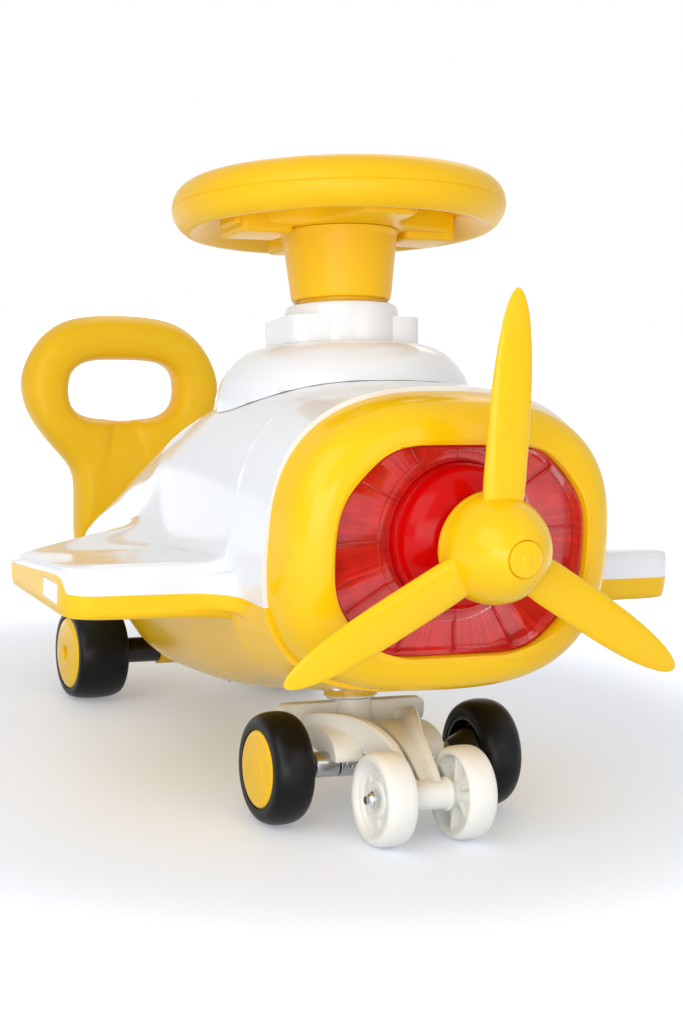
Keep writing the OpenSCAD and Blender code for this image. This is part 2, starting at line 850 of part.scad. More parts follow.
module rim_bottom() {
    color(satin_yellow)
        on_column()
            difference() {
                union() {
                    tube_half(180);
                    translate([0, 0, spoke_bottom])
                        difference() {
                            cylinder(r = rim_wall, h = spoke_top - spoke_bottom);
                            translate([0, 0, -1]) cylinder(r = rim_wall - 3, h = 40);
                        }
                    difference() {
                        spokes(spoke_bottom, spoke_top, spoke_half_width, 0);
                        spokes(spoke_bottom + 3, spoke_top + 1, spoke_half_width - 3, 4);
                    }
                    translate([0, 0, spoke_bottom])
                        difference() {
                            cylinder(r = hub_plate, h = spoke_top - spoke_bottom);
                            translate([0, 0, 4]) cylinder(r = hub_plate - 3, h = 40);
                        }
                }
                shaft_hole(spoke_bottom - 1);
            }
}

module shaft_hole(from) {
    translate([0, 0, from]) cylinder(r = shaft_radius + 0.1, h = 60);
}

module rim_top() {
    color(satin_yellow)
        on_column()
            difference() {
                union() {
                    tube_half(0);
                    translate([0, 0, rim_distance])
                        difference() {
                            cylinder(r = rim_wall, h = 9);
                            translate([0, 0, -1]) cylinder(r = rim_wall - 3, h = 12);
                        }
                    spokes(rim_distance, rim_distance + 9, spoke_half_width + 3, 0);
                    translate([0, 0, rim_distance]) cylinder(r = hub_plate + 4, h = 9);
                }
                translate([0, 0, rim_distance - 1]) cylinder(r = 34.2, h = 20);
            }
}

module wheel_cap() {
    color(satin_yellow)
        on_column()
            rotate_extrude()
                polygon([
                    [0, rim_distance + 13], [26, rim_distance + 12], [33, rim_distance + 9.5], [34, rim_distance + 7],
                    [34, rim_distance + 0.2], [31, rim_distance + 0.2], [31, rim_distance + 6], [0, rim_distance + 9]
                ]);
}

neck_bottom = cover_top + 2.2;

module steering_neck() {
    color(satin_yellow)
        on_column()
            rotate_extrude()
                polygon([
                    [37, neck_bottom + 1.5], [35.5, neck_bottom], [30, neck_bottom], [29, neck_bottom + 4],
                    [shaft_radius + 0.1, neck_bottom + 4], [shaft_radius + 0.1, neck_bottom + 7],
                    [33.5, neck_bottom + 7], [40, spoke_bottom - 4], [shaft_radius + 0.1, spoke_bottom - 4],
                    [shaft_radius + 0.1, spoke_bottom - 0.2], [46, spoke_bottom - 0.2], [43.5, spoke_bottom - 4]
                ]);
}

module steering_shaft() {
    color(steel)
        on_column() {
            translate([0, 0, shaft_bottom]) cylinder(r = shaft_radius, h = spoke_bottom + 12 - shaft_bottom);
            translate([0, 0, shaft_bottom - 4]) cylinder(r = 11, h = 4.2);
        }
}

module shaft_nut() {
    color(steel)
        on_column()
            translate([0, 0, spoke_bottom + 4.1])
                difference() {
                    cylinder(r = 12, h = 7, $fn = 6);
                    translate([0, 0, -1]) cylinder(r = shaft_radius + 0.05, h = 10, $fn = 48);
                }
}

// Carrier under the column, with the front axle and the roller bolt
shaft_bottom = 49.3;
post_radius = 15;
post_top = lower_seat - 2 - side_gap;
// Rows along the carrier: place in front of the front axle, half width, top of the side ribs, underside
carrier_rows = [
    [-78, 12, 56, 44], [-76, 18, 58, 45], [-70, 27, 60, 46], [-60, 36, 62, 47], [-50, 42, 63.5, 47],
    [-42, 44, 66, 48], [-30, 42, 70, 51], [-20, 38, 72, 53], [-10, 33, 73.5, 54], [0, 28.5, 74, 55],
    [10, 24, 73, 54], [20, 20.5, 71, 52], [30, 17.6, 68, 49], [40, 16, 64, 45], [50, 14.5, 58, 39],
    [60, 13.5, 51, 31], [67, 12.5, 46, 24], [72, 12, 42, 24]
];
web_drop = 9;
web_thick = 4;

// A channel that is open below, with a rib along each upper edge
module carrier_arch() {
    skin([
        for (row = carrier_rows)
            let (
                out = row[1],
                k = min(1, out / 16),
                top = row[2],
                foot = row[3],
                web = max(top - web_drop, foot + 5),
                side = out - 5 * k,
                outer = [
                    [out, foot], [out, top - 2.5], [out - 2 * k, top], [out - 6 * k, top],
                    [out - 8 * k, top - 2.5], [out - 9.5 * k, web], [0, web]
                ],
                inner = concat(
                    [[side, foot], [side - 0.1, web - web_thick - 0.5]],
                    [for (t = [0.8, 0.6, 0.4, 0.2, 0]) [side * t, web - web_thick]]
                )
            )
            strip(x_front + row[0], flip(outer), flip(inner))
    ]);
}

function from_front(points) = [for (p = points) [x_front + p[0], p[1]]];
module plate_y(points, y0, y1) {
    translate([0, y1, 0])
        rotate([90, 0, 0])
            linear_extrude(y1 - y0)
                polygon(points);
}

block_half = 44;
arm_in = 22;
arm_outline = [[-36, 50], [-32, 61], [-14, 63], [2, 61], [12, 55], [15, 47], [15, 44.5], [-15, 44.5], [-30, 47]];

// Plate across the back of the carrier, with a pointed end on each side
module carrier_plate() {
    translate([x_front - 58, 0, 0])
        rotate([90, 0, 90])
            linear_extrude(9)
                polygon([[-60, 66], [-60, 71.5], [60, 71.5], [60, 66], [48, 57], [30, 52], [-30, 52], [-48, 57]]);
}

module front_carrier() {
    color(ivory)
        difference() {
            union() {
                shaft_bore(post_radius, shaft_bottom + 0.7, post_top);
                carrier_arch();
                carrier_plate();
                both_sides() plate_y(from_front(arm_outline), arm_in, block_half);
                along_y(x_roller, roller_radius, -tube_half_length)
                    cylinder(r = 10.7, h = 2 * tube_half_length);
                both_sides()
                    along_y(x_roller, roller_radius, tube_half_length - 3)
                        cylinder(r = 12, h = 3);
            }
            shaft_bore(shaft_radius + 0.1, 30, 90);
            along_y(x_roller, roller_radius, -60) cylinder(r = bolt_radius + 0.1, h = 120);
            along_y(x_front, wheel_radius, -60) cylinder(r = axle_radius + 0.1, h = 120);
        }
}
tube_half_length = roller_track - roller_width / 2 - side_gap;

axle_end = front_track + front_tyre_width / 2 - 4;

module front_axle() {
    color(steel)
        along_y(x_front, wheel_radius, -axle_end)
            cylinder(r = axle_radius, h = 2 * axle_end);
}

module push_nut(x, y) {
    along_y(x, wheel_radius, y)
        difference() {
            cylinder(r = 9, h = 2.5);
            translate([0, 0, -1]) cylinder(r = axle_radius, h = 5);
        }
}

module front_push_nuts() {
    color(steel) both_sides() push_nut(x_front, front_track + 8.5);
}

clamp_in = 21;
clamp_out = 36;
clamp_screw_place = axle_radius + 6.8;

module axle_clamps() {
    color(steel)
        both_sides()
            difference() {
                union() {
                    intersection() {
                        along_y(x_front, wheel_radius, clamp_in)
                            cylinder(r = axle_radius + 3.4, h = clamp_out - clamp_in);
                        translate([x_front - 20, clamp_in - 1, 0]) cube([40, 20, 44.4]);
                    }
                    translate([x_front - axle_radius - 3.4, clamp_in, wheel_radius])
                        cube([2 * axle_radius + 6.8, clamp_out - clamp_in, 4.4]);
                    translate([x_front - clamp_screw_place - 3.2, clamp_in, 42.3])
                        cube([2 * clamp_screw_place + 6.4, clamp_out - clamp_in, 2.1]);
                }
                along_y(x_front, wheel_radius, clamp_in - 1) cylinder(r = axle_radius + 0.1, h = 30);
                for (dx = [-clamp_screw_place, clamp_screw_place])
                    translate([x_front + dx, (clamp_in + clamp_out) / 2, 30]) cylinder(r = 1.8, h = 30);
            }
}

module clamp_screws() {
    color(steel)
        both_sides()
            for (dx = [-clamp_screw_place, clamp_screw_place])
                translate([x_front + dx, (clamp_in + clamp_out) / 2, 40]) {
                    cylinder(r = 3, h = 2.2);
                    cylinder(r = 1.6, h = 4.4);
                }
}

bolt_end = roller_track + roller_width / 2 + 3;

module roller_bolt() {
    color(steel)
        along_y(x_roller, roller_radius, -bolt_end)
            cylinder(r = bolt_radius, h = 2 * bolt_end);
}

module roller_nuts() {
    color(steel)
        both_sides()
            along_y(x_roller, roller_radius, roller_track + roller_width / 2 - 6 + side_gap)
                difference() {
                    union() {
                        cylinder(r = 6.6, h = 5.4, $fn = 6);
                        translate([0, 0, 5.4]) cylinder(r1 = 5.4, r2 = 4, h = 2);
                    }
                    translate([0, 0, -1]) cylinder(r = bolt_radius + 0.05, h = 20);
                }
}

// Road wheels, drawn with the outer face towards +Y
function tyre_profile(bead, width) = concat(
    [for (i = [0:18]) let (a = -90 + 10 * i)
        [bead + (wheel_radius - bead) * pow(cos(a), 0.78), width / 2 * sgn_pow(sin(a), 0.92)]],
    [[bead - 3, width / 2], [bead - 3, -width / 2]]
);

module tyre(bead, width) {
    color(rubber_black)
        rotate_extrude()
            polygon(tyre_profile(bead, width));
}

front_bead = 31;
rear_bead = 34;
hub_gap = 0.1;
hub_reach = front_track - block_half - side_gap;

module front_hub() {
    w = front_tyre_width / 2;
    color(rubber_black)
        rotate_extrude()
            polygon([
                [axle_radius + running_gap, -hub_reach], [9, -hub_reach], [11, 2 - hub_reach], [17, -w + 3], [17, -2], [25, -2],
                [25, -w + 0.5], [front_bead - 3 - hub_gap, -w + 0.5], [front_bead - 3 - hub_gap, w - 3.5],
                [25, w - 3.5], [25, 8], [axle_radius + running_gap, 8]
            ]);
}

module front_cap() {
    w = front_tyre_width / 2;
    color(yellow)
        rotate_extrude()
            polygon([
                [0, w + 2.2], [12, w + 1.9], [12.6, w + 1.5], [front_bead - 8, w + 0.9], [front_bead - 4.4, w],
                [front_bead - 3.2, w - 1.4], [front_bead - 3.2, w - 3.3], [0, w - 3.3]
            ]);
}

module rear_hub() {
    w = rear_tyre_width / 2;
    color(rubber_black)
        rotate_extrude()
            polygon([
                [axle_radius + running_gap, -w - 6], [10, -w - 6], [11, -w - 5], [11, -w + 4], [rear_bead - 8, -w + 4],
                [rear_bead - 8, -w + 1], [rear_bead - 3 - hub_gap, -w + 1], [rear_bead - 3 - hub_gap, w - 3.5],
                [rear_bead - 8, w - 3.5], [rear_bead - 8, 14], [axle_radius + running_gap, 14]
            ]);
}

module rear_cap() {
    w = rear_tyre_width / 2;
    color(yellow)
        rotate_extrude()
            polygon([
                [axle_radius + 0.6, w + 1.6], [axle_radius + 2, w + 3], [14, w + 2.8], [rear_bead - 9, w + 1.6],
                [rear_bead - 4.6, w], [rear_bead - 3.2, w - 1.4], [rear_bead - 3.2, w - 3.3], [axle_radius + 0.6, w - 3.3]
            ]);
}

module on_left(x, z, y) {
    along_y(x, z, y) children();
}
module on_right(x, z, y) {
    mirror([0, 1, 0]) along_y(x, z, y) children();
}

module front_tyre_left() { on_left(x_front, wheel_radius, front_track) tyre(front_bead, front_tyre_width); }
module front_tyre_right() { on_right(x_front, wheel_radius, front_track) tyre(front_bead, front_tyre_width); }
module front_hub_left() { on_left(x_front, wheel_radius, front_track) front_hub(); }
module front_hub_right() { on_right(x_front, wheel_radius, front_track) front_hub(); }
module front_cap_left() { on_left(x_front, wheel_radius, front_track) front_cap(); }
module front_cap_right() { on_right(x_front, wheel_radius, front_track) front_cap(); }
module rear_tyre_left() { on_left(x_rear, wheel_radius, rear_track) tyre(rear_bead, rear_tyre_width); }
module rear_tyre_right() { on_right(x_rear, wheel_radius, rear_track) tyre(rear_bead, rear_tyre_width); }
module rear_hub_left() { on_left(x_rear, wheel_radius, rear_track) rear_hub(); }
module rear_hub_right() { on_right(x_rear, wheel_radius, rear_track) rear_hub(); }
module rear_cap_left() { on_left(x_rear, wheel_radius, rear_track) rear_cap(); }
module rear_cap_right() { on_right(x_rear, wheel_radius, rear_track) rear_cap(); }

module rear_axle() {
    half = rear_track + rear_tyre_width / 2 - 2;
    color(steel)
        along_y(x_rear, wheel_radius, -half)
            cylinder(r = axle_radius, h = 2 * half);
}

module rear_push_nuts() {
    color(steel) both_sides() push_nut(x_rear, rear_track + 14.5);
}

module rear_sleeves() {
    from = axle_housing_half + 0.1;
    to = rear_track - rear_tyre_width / 2 - 6 - side_gap;
    color(rubber_black)
        both_sides()
            along_y(x_rear, wheel_radius, from)
                difference() {
                    cylinder(r = 11, h = to - from);
                    translate([0, 0, -1]) cylinder(r = axle_radius + 0.05, h = 60);
                }
}

// Small rollers in front, with pockets towards the middle
module roller() {
    w = roller_width / 2;
    color(ivory)
        difference() {
            rotate_extrude()
                polygon(concat(
                    [[bolt_radius + running_gap, -w], [8.5, -w], [9.5, -1], [roller_radius - 7.5, 0],
                        [roller_radius - 6.5, -w + 3]],
                    [for (i = [1:13]) let (a = -90 + 180 * i / 14)
                        [roller_radius - 6.5 + 6.5 * pow(cos(a), 0.7), w * sgn_pow(sin(a), 0.85)]],
                    [[roller_radius - 6.5, w - 2], [roller_radius - 12, w - 4], [14, w - 5], [8, w - 6],
                        [bolt_radius + running_gap, w - 6]]
                ));
        }
    color(ivory)
        for (i = [0:5])
            rotate(60 * i)
                translate([8.6, -1.3, -w + 4]) cube([roller_radius - 16, 2.6, w - 4.2]);
}

module roller_left() { on_left(x_roller, roller_radius, roller_track) roller(); }
module roller_right() { on_right(x_roller, roller_radius, roller_track) roller(); }

upper_shell();
lower_shell();
nose_cowl();
column_cover();
lens();
reflector();
hub_dome();
handle();
wing_markers();
upper_bush();
lower_bush();
rear_axle();
rear_push_nuts();
rear_sleeves();
prop_shaft();
shell_screws();
handle_screws();
cowl_screws();
rim_top();
rim_bottom();
steering_neck();
wheel_cap();
steering_shaft();
shaft_nut();
front_carrier();
front_axle();
front_push_nuts();
axle_clamps();
clamp_screws();
roller_bolt();
roller_nuts();
front_tyre_left();
front_hub_left();
front_cap_left();
front_tyre_right();
front_hub_right();
front_cap_right();
rear_tyre_left();
rear_hub_left();
rear_cap_left();
rear_tyre_right();
rear_hub_right();
rear_cap_right();
roller_left();
roller_right();
propeller();
propeller_ring();
nose_plug();
propeller_screw();
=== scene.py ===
"""A ride-on swing car in the shape of a small aeroplane, finished around its CAD frame.

Lengths in the settings are metres in the frame of the part: +X to the nose, +Y to the rider's left, +Z up.
"""

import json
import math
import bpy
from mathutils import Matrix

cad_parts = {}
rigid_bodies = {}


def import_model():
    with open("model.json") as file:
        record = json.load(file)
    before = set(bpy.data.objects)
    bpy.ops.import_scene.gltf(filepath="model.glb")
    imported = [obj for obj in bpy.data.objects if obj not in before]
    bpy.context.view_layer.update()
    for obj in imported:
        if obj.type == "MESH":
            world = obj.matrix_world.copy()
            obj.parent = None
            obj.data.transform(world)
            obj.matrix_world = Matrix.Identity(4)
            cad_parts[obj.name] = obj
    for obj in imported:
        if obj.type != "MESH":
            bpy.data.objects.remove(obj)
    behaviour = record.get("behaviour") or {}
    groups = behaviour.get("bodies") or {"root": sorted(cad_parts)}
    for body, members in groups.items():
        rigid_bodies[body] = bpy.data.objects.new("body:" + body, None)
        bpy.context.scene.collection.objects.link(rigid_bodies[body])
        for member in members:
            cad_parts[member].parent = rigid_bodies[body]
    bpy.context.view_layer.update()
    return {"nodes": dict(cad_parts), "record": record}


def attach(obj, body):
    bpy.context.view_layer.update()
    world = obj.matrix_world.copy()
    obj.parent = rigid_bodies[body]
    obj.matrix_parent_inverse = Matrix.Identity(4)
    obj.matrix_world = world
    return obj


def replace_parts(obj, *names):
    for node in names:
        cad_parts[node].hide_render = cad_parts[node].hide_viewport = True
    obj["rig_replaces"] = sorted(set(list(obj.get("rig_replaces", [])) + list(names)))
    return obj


bl_info = {
    "name": "Aeroplane swing car",
    "version": (1, 0, 0),
    "blender": (4, 5, 0),
    "location": "View3D > Sidebar > Swing Car",
    "description": "Finishes the moulded shells, wheels, lens and steering of a ride-on swing car",
    "category": "Add Mesh",
}

import bmesh
import bpy
from bpy.props import FloatProperty, FloatVectorProperty, PointerProperty
from mathutils import Matrix, Vector
from mathutils.bvhtree import BVHTree

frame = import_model()

# Settings ---------------------------------------------------------------


def colour(name, default, words):
    return FloatVectorProperty(
        name=name, description=words, subtype="COLOR", size=3, min=0, max=1, default=default
    )


def length(name, default, words):
    return FloatProperty(name=name, description=words, subtype="DISTANCE", unit="LENGTH", default=default)


def angle(name, default, words):
    return FloatProperty(
        name=name, description=words, subtype="ANGLE", unit="ROTATION", default=math.radians(default)
    )


def amount(name, default, words):
    return FloatProperty(name=name, description=words, default=default, min=0)


class SwingCarColours(bpy.types.PropertyGroup):
    gloss_yellow: colour("Gloss yellow", (0.98, 0.585, 0.003), "Lower shell, cowl, propeller and wheel caps")
    satin_yellow: colour("Satin yellow", (0.97, 0.555, 0.004), "Handle and steering wheel")
    white: colour("White", (0.86, 0.875, 0.895), "Upper shell and column cover")
    ivory: colour("Ivory", (0.93, 0.92, 0.86), "Carrier and rollers")
    lens_red: colour("Lens red", (0.80, 0.030, 0.022), "Clear red lens")
    dome_red: colour("Dome red", (0.62, 0.001, 0.001), "Opaque dome behind the propeller")
    tyre_black: colour("Tyre black", (0.0045, 0.0045, 0.005), "Tyres and hubs")
    zinc: colour("Zinc", (0.56, 0.57, 0.58), "Plated steel")


class SwingCarSizes(bpy.types.PropertyGroup):
    column_foot: length("Column foot", 0.178, "Where the steering column's axis meets the floor")
    column_tilt: angle("Column tilt", 10.5, "Backward tilt of the steering column")
    rim_height: length("Rim height", 0.440, "Distance along the column to the middle of the rim")
    rim_radius: length("Rim radius", 0.105, "Radius of the rim's centre line")
    rim_tube: length("Rim tube", 0.020, "Radius of the rim's tube")
    nose_axis: length("Nose axis", 0.220, "Height of the propeller's axis")
    spinner_radius: length("Spinner radius", 0.037, "Radius of the spinner")
    blade_reach: length("Blade reach", 0.169, "Distance from the axis to a blade's tip")
    dome_radius: length("Dome radius", 0.050, "Radius of the red dome")
    front_axle: length("Front axle", 0.220, "Where the front axle lies along the car")
    rear_axle: length("Rear axle", -0.155, "Where the rear axle lies along the car")
    roller_axle: length("Roller axle", 0.287, "Where the rollers' bolt lies along the car")
    front_track: length("Front track", 0.083, "Distance of a front wheel from the car's middle")
    rear_track: length("Rear track", 0.094, "Distance of a rear wheel from the car's middle")
    roller_track: length("Roller track", 0.031, "Distance of a roller from the car's middle")
    wheel_radius: length("Wheel radius", 0.040, "Radius of the road wheels")
    roller_radius: length("Roller radius", 0.033, "Radius of the small rollers")
    edge_round: length("Edge round", 0.0008, "Radius on the edges of moulded plastic")
    metal_round: length("Metal edge round", 0.00025, "Radius on the edges of metal pieces")
    grain_size: length("Grain size", 0.0006, "Size of the satin grain on blow-moulded pieces")


class SwingCarStage(bpy.types.PropertyGroup):
    camera_place: FloatVectorProperty(
        name="Camera place", description="Where the camera stands", subtype="XYZ", unit="LENGTH", size=3,
        default=(1.45389, -0.64695, 0.42764),
    )
    camera_turn: angle("Camera turn", 26.07, "Angle between the view and the car's length")
    camera_dip: angle("Camera dip", 8.5, "How far the camera looks down")
    camera_roll: angle("Camera roll", 3.24, "How far the camera leans to its right")
    camera_lens: amount("Lens", 69.63, "Focal length in millimetres")
    key_power: amount("Key power", 18.0, "Power of the large soft box")
    fill_power: amount("Fill power", 5.0, "Power of the side boxes")
    low_power: amount("Low power", 8.0, "Power of the box near the floor")
    world_level: amount("World level", 0.52, "Plain light all round")


def colours():
    return bpy.context.scene.swing_car_colours


def sizes():
    return bpy.context.scene.swing_car_sizes


def stage_settings():
    return bpy.context.scene.swing_car_stage


# Materials --------------------------------------------------------------


def add_node(nodes, kind, values=None, operation=None):
    """A new node with its operation and the values of its sockets."""
    node = nodes.new(kind)
    if operation:
        node.operation = operation
    for socket, value in (values or {}).items():
        node.inputs[socket].default_value = value
    return node


def connect(links, *pairs):
    for start, end in pairs:
        links.new(start, end)


def new_group(name, given, made):
    """An empty node group with the names and kinds of its sockets."""
    group = bpy.data.node_groups.new(name, "ShaderNodeTree")
    for way, sockets in (("INPUT", given), ("OUTPUT", made)):
        for socket, kind in sockets.items():
            group.interface.new_socket(name=socket, in_out=way, socket_type="NodeSocket" + kind)
    return group


def moulded_surface():
    """Node group: moulded plastic with slow colour drift, fine texture and faint handling marks."""
    if "Moulded surface" in bpy.data.node_groups:
        return bpy.data.node_groups["Moulded surface"]
    given = dict.fromkeys(("Drift", "Grain scale", "Grain depth", "Roughness", "Marks"), "Float")
    group = new_group(
        "Moulded surface", {"Colour": "Color", **given},
        {"Colour": "Color", "Roughness": "Float", "Normal": "Vector"},
    )
    nodes, links = group.nodes, group.links
    given, out = nodes.new("NodeGroupInput").outputs, nodes.new("NodeGroupOutput").inputs
    place = nodes.new("ShaderNodeTexCoord").outputs["Object"]

    slow = add_node(nodes, "ShaderNodeTexNoise", {"Scale": 9.0, "Detail": 3.0})
    level = add_node(nodes, "ShaderNodeMapRange", {"From Min": 0.3, "From Max": 0.7, "To Min": 1.0})
    darkest = add_node(nodes, "ShaderNodeMath", {0: 1.0}, "SUBTRACT")
    shade = add_node(nodes, "ShaderNodeVectorMath", operation="SCALE")
    connect(
        links,
        (place, slow.inputs["Vector"]),
        (given["Drift"], darkest.inputs[1]),
        (darkest.outputs[0], level.inputs["To Max"]),
        (slow.outputs["Fac"], level.inputs["Value"]),
        (given["Colour"], shade.inputs[0]),
        (level.outputs["Result"], shade.inputs["Scale"]),
        (shade.outputs["Vector"], out["Colour"]),
    )

    grain = add_node(nodes, "ShaderNodeTexNoise", {"Detail": 2.0})
    bump = add_node(nodes, "ShaderNodeBump", {"Distance": 0.0005})
    connect(
        links,
        (place, grain.inputs["Vector"]),
        (given["Grain scale"], grain.inputs["Scale"]),
        (given["Grain depth"], bump.inputs["Strength"]),
        (grain.outputs["Fac"], bump.inputs["Height"]),
        (bump.outputs["Normal"], out["Normal"]),
    )

    marks = add_node(nodes, "ShaderNodeTexNoise", {"Scale": 34.0, "Detail": 6.0, "Distortion": 0.6})
    rub = add_node(nodes, "ShaderNodeMapRange", {"From Min": 0.52, "From Max": 0.75})
    rough = nodes.new("ShaderNodeMath")
    connect(
        links,
        (place, marks.inputs["Vector"]),
        (marks.outputs["Fac"], rub.inputs["Value"]),
        (given["Marks"], rub.inputs["To Max"]),
        (given["Roughness"], rough.inputs[0]),
        (rub.outputs["Result"], rough.inputs[1]),
        (rough.outputs[0], out["Roughness"]),
    )
    return group


def plastic(name, tint, roughness, drift, grain_scale, grain_depth, marks, coat=0.0, thick=0.0, shine=0.5):
    """A moulded plastic: coat is a share of clear gloss, thick of light that goes in, shine of reflection."""
    if name in bpy.data.materials:
        return bpy.data.materials[name]
    material = bpy.data.materials.new(name)
    material.use_nodes = True
    nodes, links = material.node_tree.nodes, material.node_tree.links
    shader = nodes["Principled BSDF"]
    surface = nodes.new("ShaderNodeGroup")
    surface.node_tree = moulded_surface()
    for socket, value in (
        ("Colour", (*tint, 1)), ("Drift", drift), ("Grain scale", grain_scale), ("Grain depth", grain_depth),
        ("Roughness", roughness), ("Marks", marks),
    ):
        surface.inputs[socket].default_value = value
    for made, socket in (("Colour", "Base Color"), ("Roughness", "Roughness"), ("Normal", "Normal")):
        links.new(surface.outputs[made], shader.inputs[socket])
    shader.inputs["IOR"].default_value = 1.5
    shader.inputs["Specular IOR Level"].default_value = shine
    shader.inputs["Coat Weight"].default_value = coat
    shader.inputs["Coat Roughness"].default_value = 0.05
    if thick:
        shader.inputs["Subsurface Weight"].default_value = thick
        shader.inputs["Subsurface Radius"].default_value = (1.0, 0.8, 0.55)
        shader.inputs["Subsurface Scale"].default_value = 0.004
    return material


def metal(name, tint, roughness, grain_scale, grain_depth):
    """A plated metal with the same fine texture and marks."""
    material = plastic(name, tint, roughness, 0.12, grain_scale, grain_depth, 0.12)
    material.node_tree.nodes["Principled BSDF"].inputs["Metallic"].default_value = 1.0
    return material


def lens_flutes():
    """Node group: a value that changes in fine rays around the nose's axis and in rings outside the dome."""
    if "Lens flutes" in bpy.data.node_groups:
        return bpy.data.node_groups["Lens flutes"]
    group = new_group("Lens flutes", {"Axis height": "Float"}, {"Flute": "Float"})
    nodes, links = group.nodes, group.links

    def math_node(kind, *values):
        node = add_node(nodes, "ShaderNodeMath", operation=kind)
        for k, value in enumerate(values):
            if isinstance(value, float):
                node.inputs[k].default_value = value
            else:
                links.new(value, node.inputs[k])
        return node.outputs[0]

    def wave(value, turns, height):
        return math_node("MULTIPLY", math_node("SINE", math_node("MULTIPLY", value, turns)), height)

    given, out = nodes.new("NodeGroupInput"), nodes.new("NodeGroupOutput")
    place, parts = nodes.new("ShaderNodeTexCoord"), nodes.new("ShaderNodeSeparateXYZ")
    links.new(place.outputs["Object"], parts.inputs[0])
    across = parts.outputs["Y"]
    height = math_node("SUBTRACT", parts.outputs["Z"], given.outputs["Axis height"])
    around = math_node("ARCTAN2", height, across)
    squares = [math_node("MULTIPLY", value, value) for value in (across, height)]
    radius = math_node("SQRT", math_node("ADD", *squares))
    ray = nodes.new("ShaderNodeCombineXYZ")
    links.new(math_node("MULTIPLY", around, 22.0), ray.inputs["X"])
    links.new(math_node("MULTIPLY", radius, 30.0), ray.inputs["Y"])
    streak = add_node(nodes, "ShaderNodeTexNoise", {"Scale": 1.0, "Detail": 3.0})
    links.new(ray.outputs["Vector"], streak.inputs["Vector"])
    rings, flutes = wave(radius, 420.0, 0.05), wave(around, 96.0, 0.04)
    links.new(math_node("ADD", math_node("ADD", streak.outputs["Fac"], rings), flutes), out.inputs["Flute"])
    return group


def clear_red(name, tint):
    """Clear red plastic, fluted behind like a vehicle's lamp glass. The flute pattern also lightens and
    darkens its colour: painted light and shade along the flutes and rings.
    """
    if name in bpy.data.materials:
        return bpy.data.materials[name]
    material = plastic(name, tint, 0.10, 0.10, 240.0, 0.02, 0.05, shine=0.35)
    nodes, links = material.node_tree.nodes, material.node_tree.links
    shader = nodes["Principled BSDF"]
    shader.inputs["Transmission Weight"].default_value = 0.40
    shader.inputs["IOR"].default_value = 1.49
    flutes = nodes.new("ShaderNodeGroup")
    flutes.node_tree = lens_flutes()
    flutes.inputs["Axis height"].default_value = sizes().nose_axis
    depth = add_node(nodes, "ShaderNodeBump", {"Distance": 0.0008, "Strength": 0.22})
    # Painted light and shade: the flute value scales the red tint from darker (0.78) to lighter (1.12) along
    # the flutes and rings.
    shade = add_node(
        nodes, "ShaderNodeMapRange", {"From Min": 0.3, "From Max": 0.7, "To Min": 0.78, "To Max": 1.12}
    )
    painted_flute_tint = add_node(nodes, "ShaderNodeVectorMath", {0: tint}, "SCALE")
    connect(
        links,
        (flutes.outputs["Flute"], depth.inputs["Height"]),
        (depth.outputs["Normal"], shader.inputs["Normal"]),
        (flutes.outputs["Flute"], shade.inputs["Value"]),
        (shade.outputs["Result"], painted_flute_tint.inputs["Scale"]),
        (painted_flute_tint.outputs["Vector"], shader.inputs["Base Color"]),
    )
    return material


def material_for(slot):
    """The finish of a slot. The numbers are roughness, drift, grain scale, grain depth and marks."""
    c = colours()
    gloss = (300.0, 0.015, 0.05)
    satin = 1.0 / sizes().grain_size
    made = {
        "gloss_white": lambda: plastic("Gloss white plastic", c.white, 0.16, 0.02, *gloss, coat=0.35),
        "gloss_yellow": lambda: plastic(
            "Gloss yellow plastic", c.gloss_yellow, 0.20, 0.05, *gloss, coat=0.06, shine=0.22
        ),
        "satin_yellow": lambda: plastic(
            "Satin yellow plastic", c.satin_yellow, 0.36, 0.07, satin, 0.10, 0.06, shine=0.26
        ),
        "lens_red": lambda: clear_red("Clear red plastic", c.lens_red),
        "dome_red": lambda: plastic("Red dome plastic", c.dome_red, 0.16, 0.06, *gloss, shine=0.14),
        "ivory": lambda: plastic("Ivory plastic", c.ivory, 0.34, 0.05, satin, 0.06, 0.06, thick=0.25),
        "tyre_black": lambda: plastic(
            "Black tyre rubber", c.tyre_black, 0.34, 0.15, 900.0, 0.08, 0.10, shine=0.2
        ),
        "hub_black": lambda: plastic("Black hub plastic", c.tyre_black, 0.28, 0.15, 700.0, 0.04, 0.10),
        "steel": lambda: metal("Zinc plated steel", c.zinc, 0.30, 420.0, 0.06),
        "chrome": lambda: metal("Bright plated steel", (0.78, 0.79, 0.80), 0.10, 260.0, 0.02),
    }
    return made[slot]()


# Pieces -----------------------------------------------------------------

BODY_OF = {n: body for body, members in frame["record"]["behaviour"]["bodies"].items() for n in members}
SLOT_OF = {entry["node"]: entry["material_slot"] for entry in frame["record"]["subparts"]}


def add_piece(name, mesh, node):
    """A piece that stands for a CAD node. Its mesh is in place already, so its object stays at the origin."""
    piece = bpy.data.objects.new(name, mesh)
    bpy.context.scene.collection.objects.link(piece)
    mesh.materials.clear()
    mesh.materials.append(material_for(SLOT_OF[node]))
    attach(piece, BODY_OF[node])
    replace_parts(piece, node)
    return piece


def mesh_from(bm, name):
    mesh = bpy.data.meshes.new(name)
    bm.to_mesh(mesh)
    bm.free()
    return mesh


def smooth_by_angle(bm, limit):
    """Smooth faces, with the edges over the limit left sharp."""
    for face in bm.faces:
        face.smooth = True
    for edge in bm.edges:
        edge.smooth = len(edge.link_faces) == 2 and edge.calc_face_angle(0) < limit


def merged_copy(node):
    """The CAD node's mesh with its doubled vertices merged."""
    bm = bmesh.new()
    bm.from_mesh(frame["nodes"][node].data)
    bmesh.ops.remove_doubles(bm, verts=bm.verts, dist=2e-6)
    bmesh.ops.dissolve_degenerate(bm, edges=bm.edges, dist=1e-7)
    return bm


